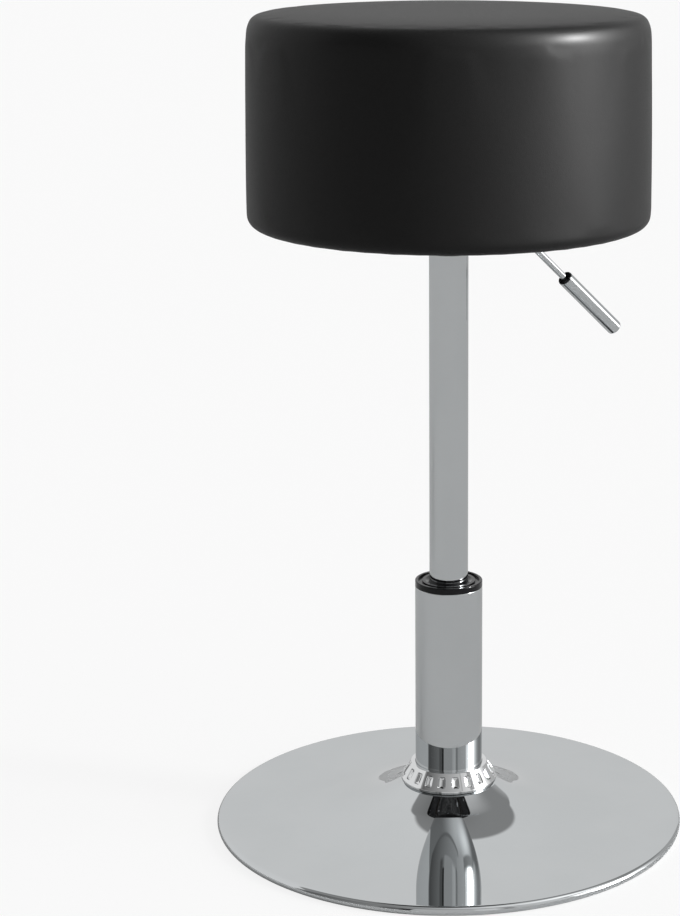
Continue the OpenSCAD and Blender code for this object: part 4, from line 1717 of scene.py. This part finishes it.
@dataclass
class Studio:
    """Floor, walls, lamps and camera."""

    white: float = 0.956
    floor_glow: float = 0.96
    floor_colour: float = 0.8
    painted_share: float = 0.12
    painted_share_in_chrome: float = 0.6
    glow_in_chrome: float = 0.28
    floor_radius: float = 40.0
    camera_place: tuple[float, float, float] = (0.0, -1.893, 0.8023)
    camera_pitch: float = 10.89
    lens: float = 94.46
    shift: Point = (-0.1187, -0.17)
    room: float = 0.36
    glows: tuple[Glow, ...] = (Glow(54.0, 60.0, 46.0, 0.9), Glow(84.0, 48.0, 26.0, 1.05),
                               Glow(200.0, 84.0, 34.0, -0.15))
    cards: tuple[Card, ...] = (
        Card("right wall", 128.0, -24.0, 60.0, 30.0, 0.62, 0.50, 5.0),
        Card("mould over the window wall", -15.0, -58.0, 54.0, 57.5, 0.20, 0.42),
        Card("window wall", -15.0, -56.0, 51.0, 54.5, 0.16, 0.68),
        Card("window", -15.0, -2.0, 41.0, 40.0, 0.66, 0.70, 0.8),
        Card("bright side of the window", -15.0, 27.0, 38.0, 37.5, 0.85, 1.0, 1.5),
        Card("stand", -15.0, -8.5, -2.5, 32.0, 0.03, 0.04, 0.8),
        Card("curtain", -15.0, -18.0, -8.0, 38.0, 0.20, 0.17, 2.0),
        Card("post", -15.0, 41.0, 46.0, 40.0, 0.40, 0.42, 1.0),
        Card("side wall", 45.0, -14.0, 15.0, 39.0, 0.76, 0.95, 1.5),
        Card("hood of the soft box", 80.0, -21.0, 21.0, 39.5, 0.45, 0.72, 1.5),
        Card("soft box", 84.0, -23.0, 24.0, 31.5, 2.2, 2.2, 2.5),
        Card("bright middle of the soft box", 84.0, -12.0, 12.0, 30.5, 12.5, 12.5, 2.5),
        Card("spill of the soft box", 112.0, -6.0, 8.0, 34.0, 1.3, 0.75, 3.0),
        Card("white wall", -145.0, -67.5, 69.0, 57.8, 0.95, 1.0),
    )
    lamp: Lamp = Lamp("key lamp", (78.0, 24.0), 12.0, (1.5, 1.5), 680.0)
    side_light: tuple[float, float] = (73.0, 28.0)
    side_light_power: float = 1.3
    side_light_width: float = 9.0

    def make(self) -> None:
        """Makes the camera, the floor, the walls and the lamps."""
        self.make_camera()
        self.make_floor()
        self.make_walls()
        self.make_lamps()
        bpy.context.scene.view_settings.view_transform = "Standard"

    def make_camera(self) -> None:
        """Makes the camera at the photograph's place."""
        data = bpy.data.cameras.new("camera")
        data.sensor_width = 36.0
        data.lens = self.lens
        data.shift_x, data.shift_y = self.shift
        data.clip_end = 2 * self.floor_radius
        camera = bpy.data.objects.new("camera", data)
        camera.location = self.camera_place
        camera.rotation_euler = (math.radians(90 - self.camera_pitch), 0.0, 0.0)
        bpy.context.scene.collection.objects.link(camera)
        bpy.context.scene.camera = camera

    def make_floor(self) -> None:
        """Makes the floor, which shows white and keeps a soft shadow."""
        bm = bmesh.new()
        bmesh.ops.create_circle(bm, cap_ends=True, segments=96, radius=self.floor_radius)
        floor = made("floor", bm, weighted=False)
        material = bpy.data.materials.new("floor")
        material.use_nodes = True
        floor.data.materials.append(material)
        placer = NodePlacer(material.node_tree)
        placer.nodes.clear()
        rays = placer.put("ShaderNodeLightPath")
        paint = placer.put("ShaderNodeBsdfDiffuse", Color=(self.floor_colour,) * 3 + (1.0,))
        level = placer.mix(rays["Is Glossy Ray"], self.floor_glow, self.glow_in_chrome)
        glow = placer.put("ShaderNodeEmission", Strength=level)
        share = placer.plus(placer.times(self.direct(placer, rays), 1 - self.painted_share),
                            placer.times(rays["Is Glossy Ray"], 1 - self.painted_share_in_chrome))
        mixed = placer.feed_all(placer.nodes.new("ShaderNodeMixShader"), share, paint[0], glow[0])
        placer.put("ShaderNodeOutputMaterial", Surface=mixed[0])

    @staticmethod
    def direct(placer: NodePlacer, rays: Outputs) -> Socket:
        """Share of the rays that come straight from the camera or through glass."""
        return placer.math("MAXIMUM", rays["Is Camera Ray"], rays["Is Transmission Ray"])

    def make_walls(self) -> None:
        """Makes the world: white to the camera, cards and glows to the stool."""
        world = bpy.data.worlds.new("studio")
        bpy.context.scene.world = world
        world.use_nodes = True
        placer = NodePlacer(world.node_tree)
        placer.nodes.clear()
        aim = placer.put("ShaderNodeTexCoord")["Generated"]
        level: object = self.room
        for glow in self.glows:
            off = placer.math("ARCCOSINE", placer.dot(aim, heading(glow.azimuth, glow.elevation)))
            patch = placer.spread(off, (0.0, math.radians(glow.radius)), (glow.lift, 0.0))
            level = placer.plus(patch, level)
        for card in self.cards:
            level = self.hang(placer, aim, card, level)
        direct = self.direct(placer, placer.put("ShaderNodeLightPath"))
        background = placer.put("ShaderNodeBackground", Color=(1.0, 1.0, 1.0, 1.0),
                                Strength=placer.mix(direct, level, self.white))
        placer.put("ShaderNodeOutputWorld", Surface=background[0])

    @staticmethod
    def hang(placer: NodePlacer, aim: Socket, card: Card, behind: object) -> Socket:
        """Hangs a card in front of what the studio has so far.

        Args:
            placer: The world's nodes.
            aim: Direction of the ray.
            card: The card.
            behind: Level behind the card.

        Returns:
            The level with the card.
        """
        left, right = math.radians(card.left), math.radians(card.right)
        top, blur = math.radians(card.top), math.radians(card.blur)
        ahead = placer.dot(aim, heading(card.facing, 0.0))
        turn = placer.math("ARCTAN2", placer.dot(aim, heading(card.facing + 90, 0.0)), ahead)
        climb = placer.math("ARCTAN2", placer.split(aim)[2], placer.math("MAXIMUM", ahead, 0.001))
        off = placer.math("ABSOLUTE", placer.math("SUBTRACT", turn, (left + right) / 2))
        half = (right - left) / 2
        within = placer.spread(off, (half - blur, half + blur), (1.0, 0.0))
        under = placer.spread(climb, (top - blur, top + blur), (1.0, 0.0))
        level = placer.spread(turn, (left, right), (card.level_left, card.level_right), False)
        result = placer.mix(placer.times(within, under), behind, level)
        result.node.label = card.name
        return result

    def make_lamps(self) -> None:
        """Makes the flat lamp that leather shines with and the light with a faint shadow."""
        lamp, aim = self.lamp, heading(*self.lamp.place)
        data = bpy.data.lights.new(lamp.name, "AREA")
        data.shape = "RECTANGLE"
        data.size, data.size_y = lamp.size
        data.energy = lamp.level * math.pi * lamp.size[0] * lamp.size[1]
        self.place_light(data, aim, aim * lamp.distance).visible_diffuse = False
        data = bpy.data.lights.new("side light", "SUN")
        data.energy = self.side_light_power
        data.angle = math.radians(self.side_light_width)
        side = self.place_light(data, heading(*self.side_light), Vector((0.0, 0.0, 3.0)))
        side.visible_glossy = False

    @staticmethod
    def place_light(data: bpy.types.Light, aim: Vector, place: Vector) -> Piece:
        """Links a light that shines back along a direction and hides it from the camera.

        Args:
            data: The light.
            aim: Direction from the stool to the light.
            place: Where it stands.

        Returns:
            The light's object.
        """
        light = bpy.data.objects.new(data.name, data)
        light.location = place
        light.rotation_euler = aim.to_track_quat("Z", "Y").to_euler()
        light.visible_camera = False
        bpy.context.scene.collection.objects.link(light)
        return light


KEPT_NODES: dict[Slot, tuple[str, ...]] = {
    Slot.IRON: ("base_ballast",),
    Slot.RUBBER: ("base_floor_ring", "bump_stop", "piston_ring", "rod_seal"),
    Slot.BRASS: ("bearing_cage", "valve_block"),
    Slot.PAINTED: ("retaining_clip", "pivot_clevis"),
    Slot.PLYWOOD: ("seat_board", "seat_ring"),
    Slot.ZINC: ("column_foot", "foot_screws", "lower_race", "bearing_balls", "upper_race",
                "piston_rod", "piston", "rod_guide", "release_pin", "bracket_screws",
                "board_tee_nuts", "pivot_pin"),
}


def main() -> None:
    """Loads the frame, builds every sub-assembly and sets up the studio."""
    logging.basicConfig(level=logging.INFO, format="%(name)s: %(message)s")
    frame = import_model()
    Studio().make()
    shelf = Shelf()
    for assembly in (BasePlate(), Collar(), Column(), GasLift(), Bracket(), Lever(), Seat()):
        assembly.make(shelf)
        LOG.info("%s done", type(assembly).__name__)
    shelf.dress_nodes(frame)


if __name__ == "__main__":
    main()
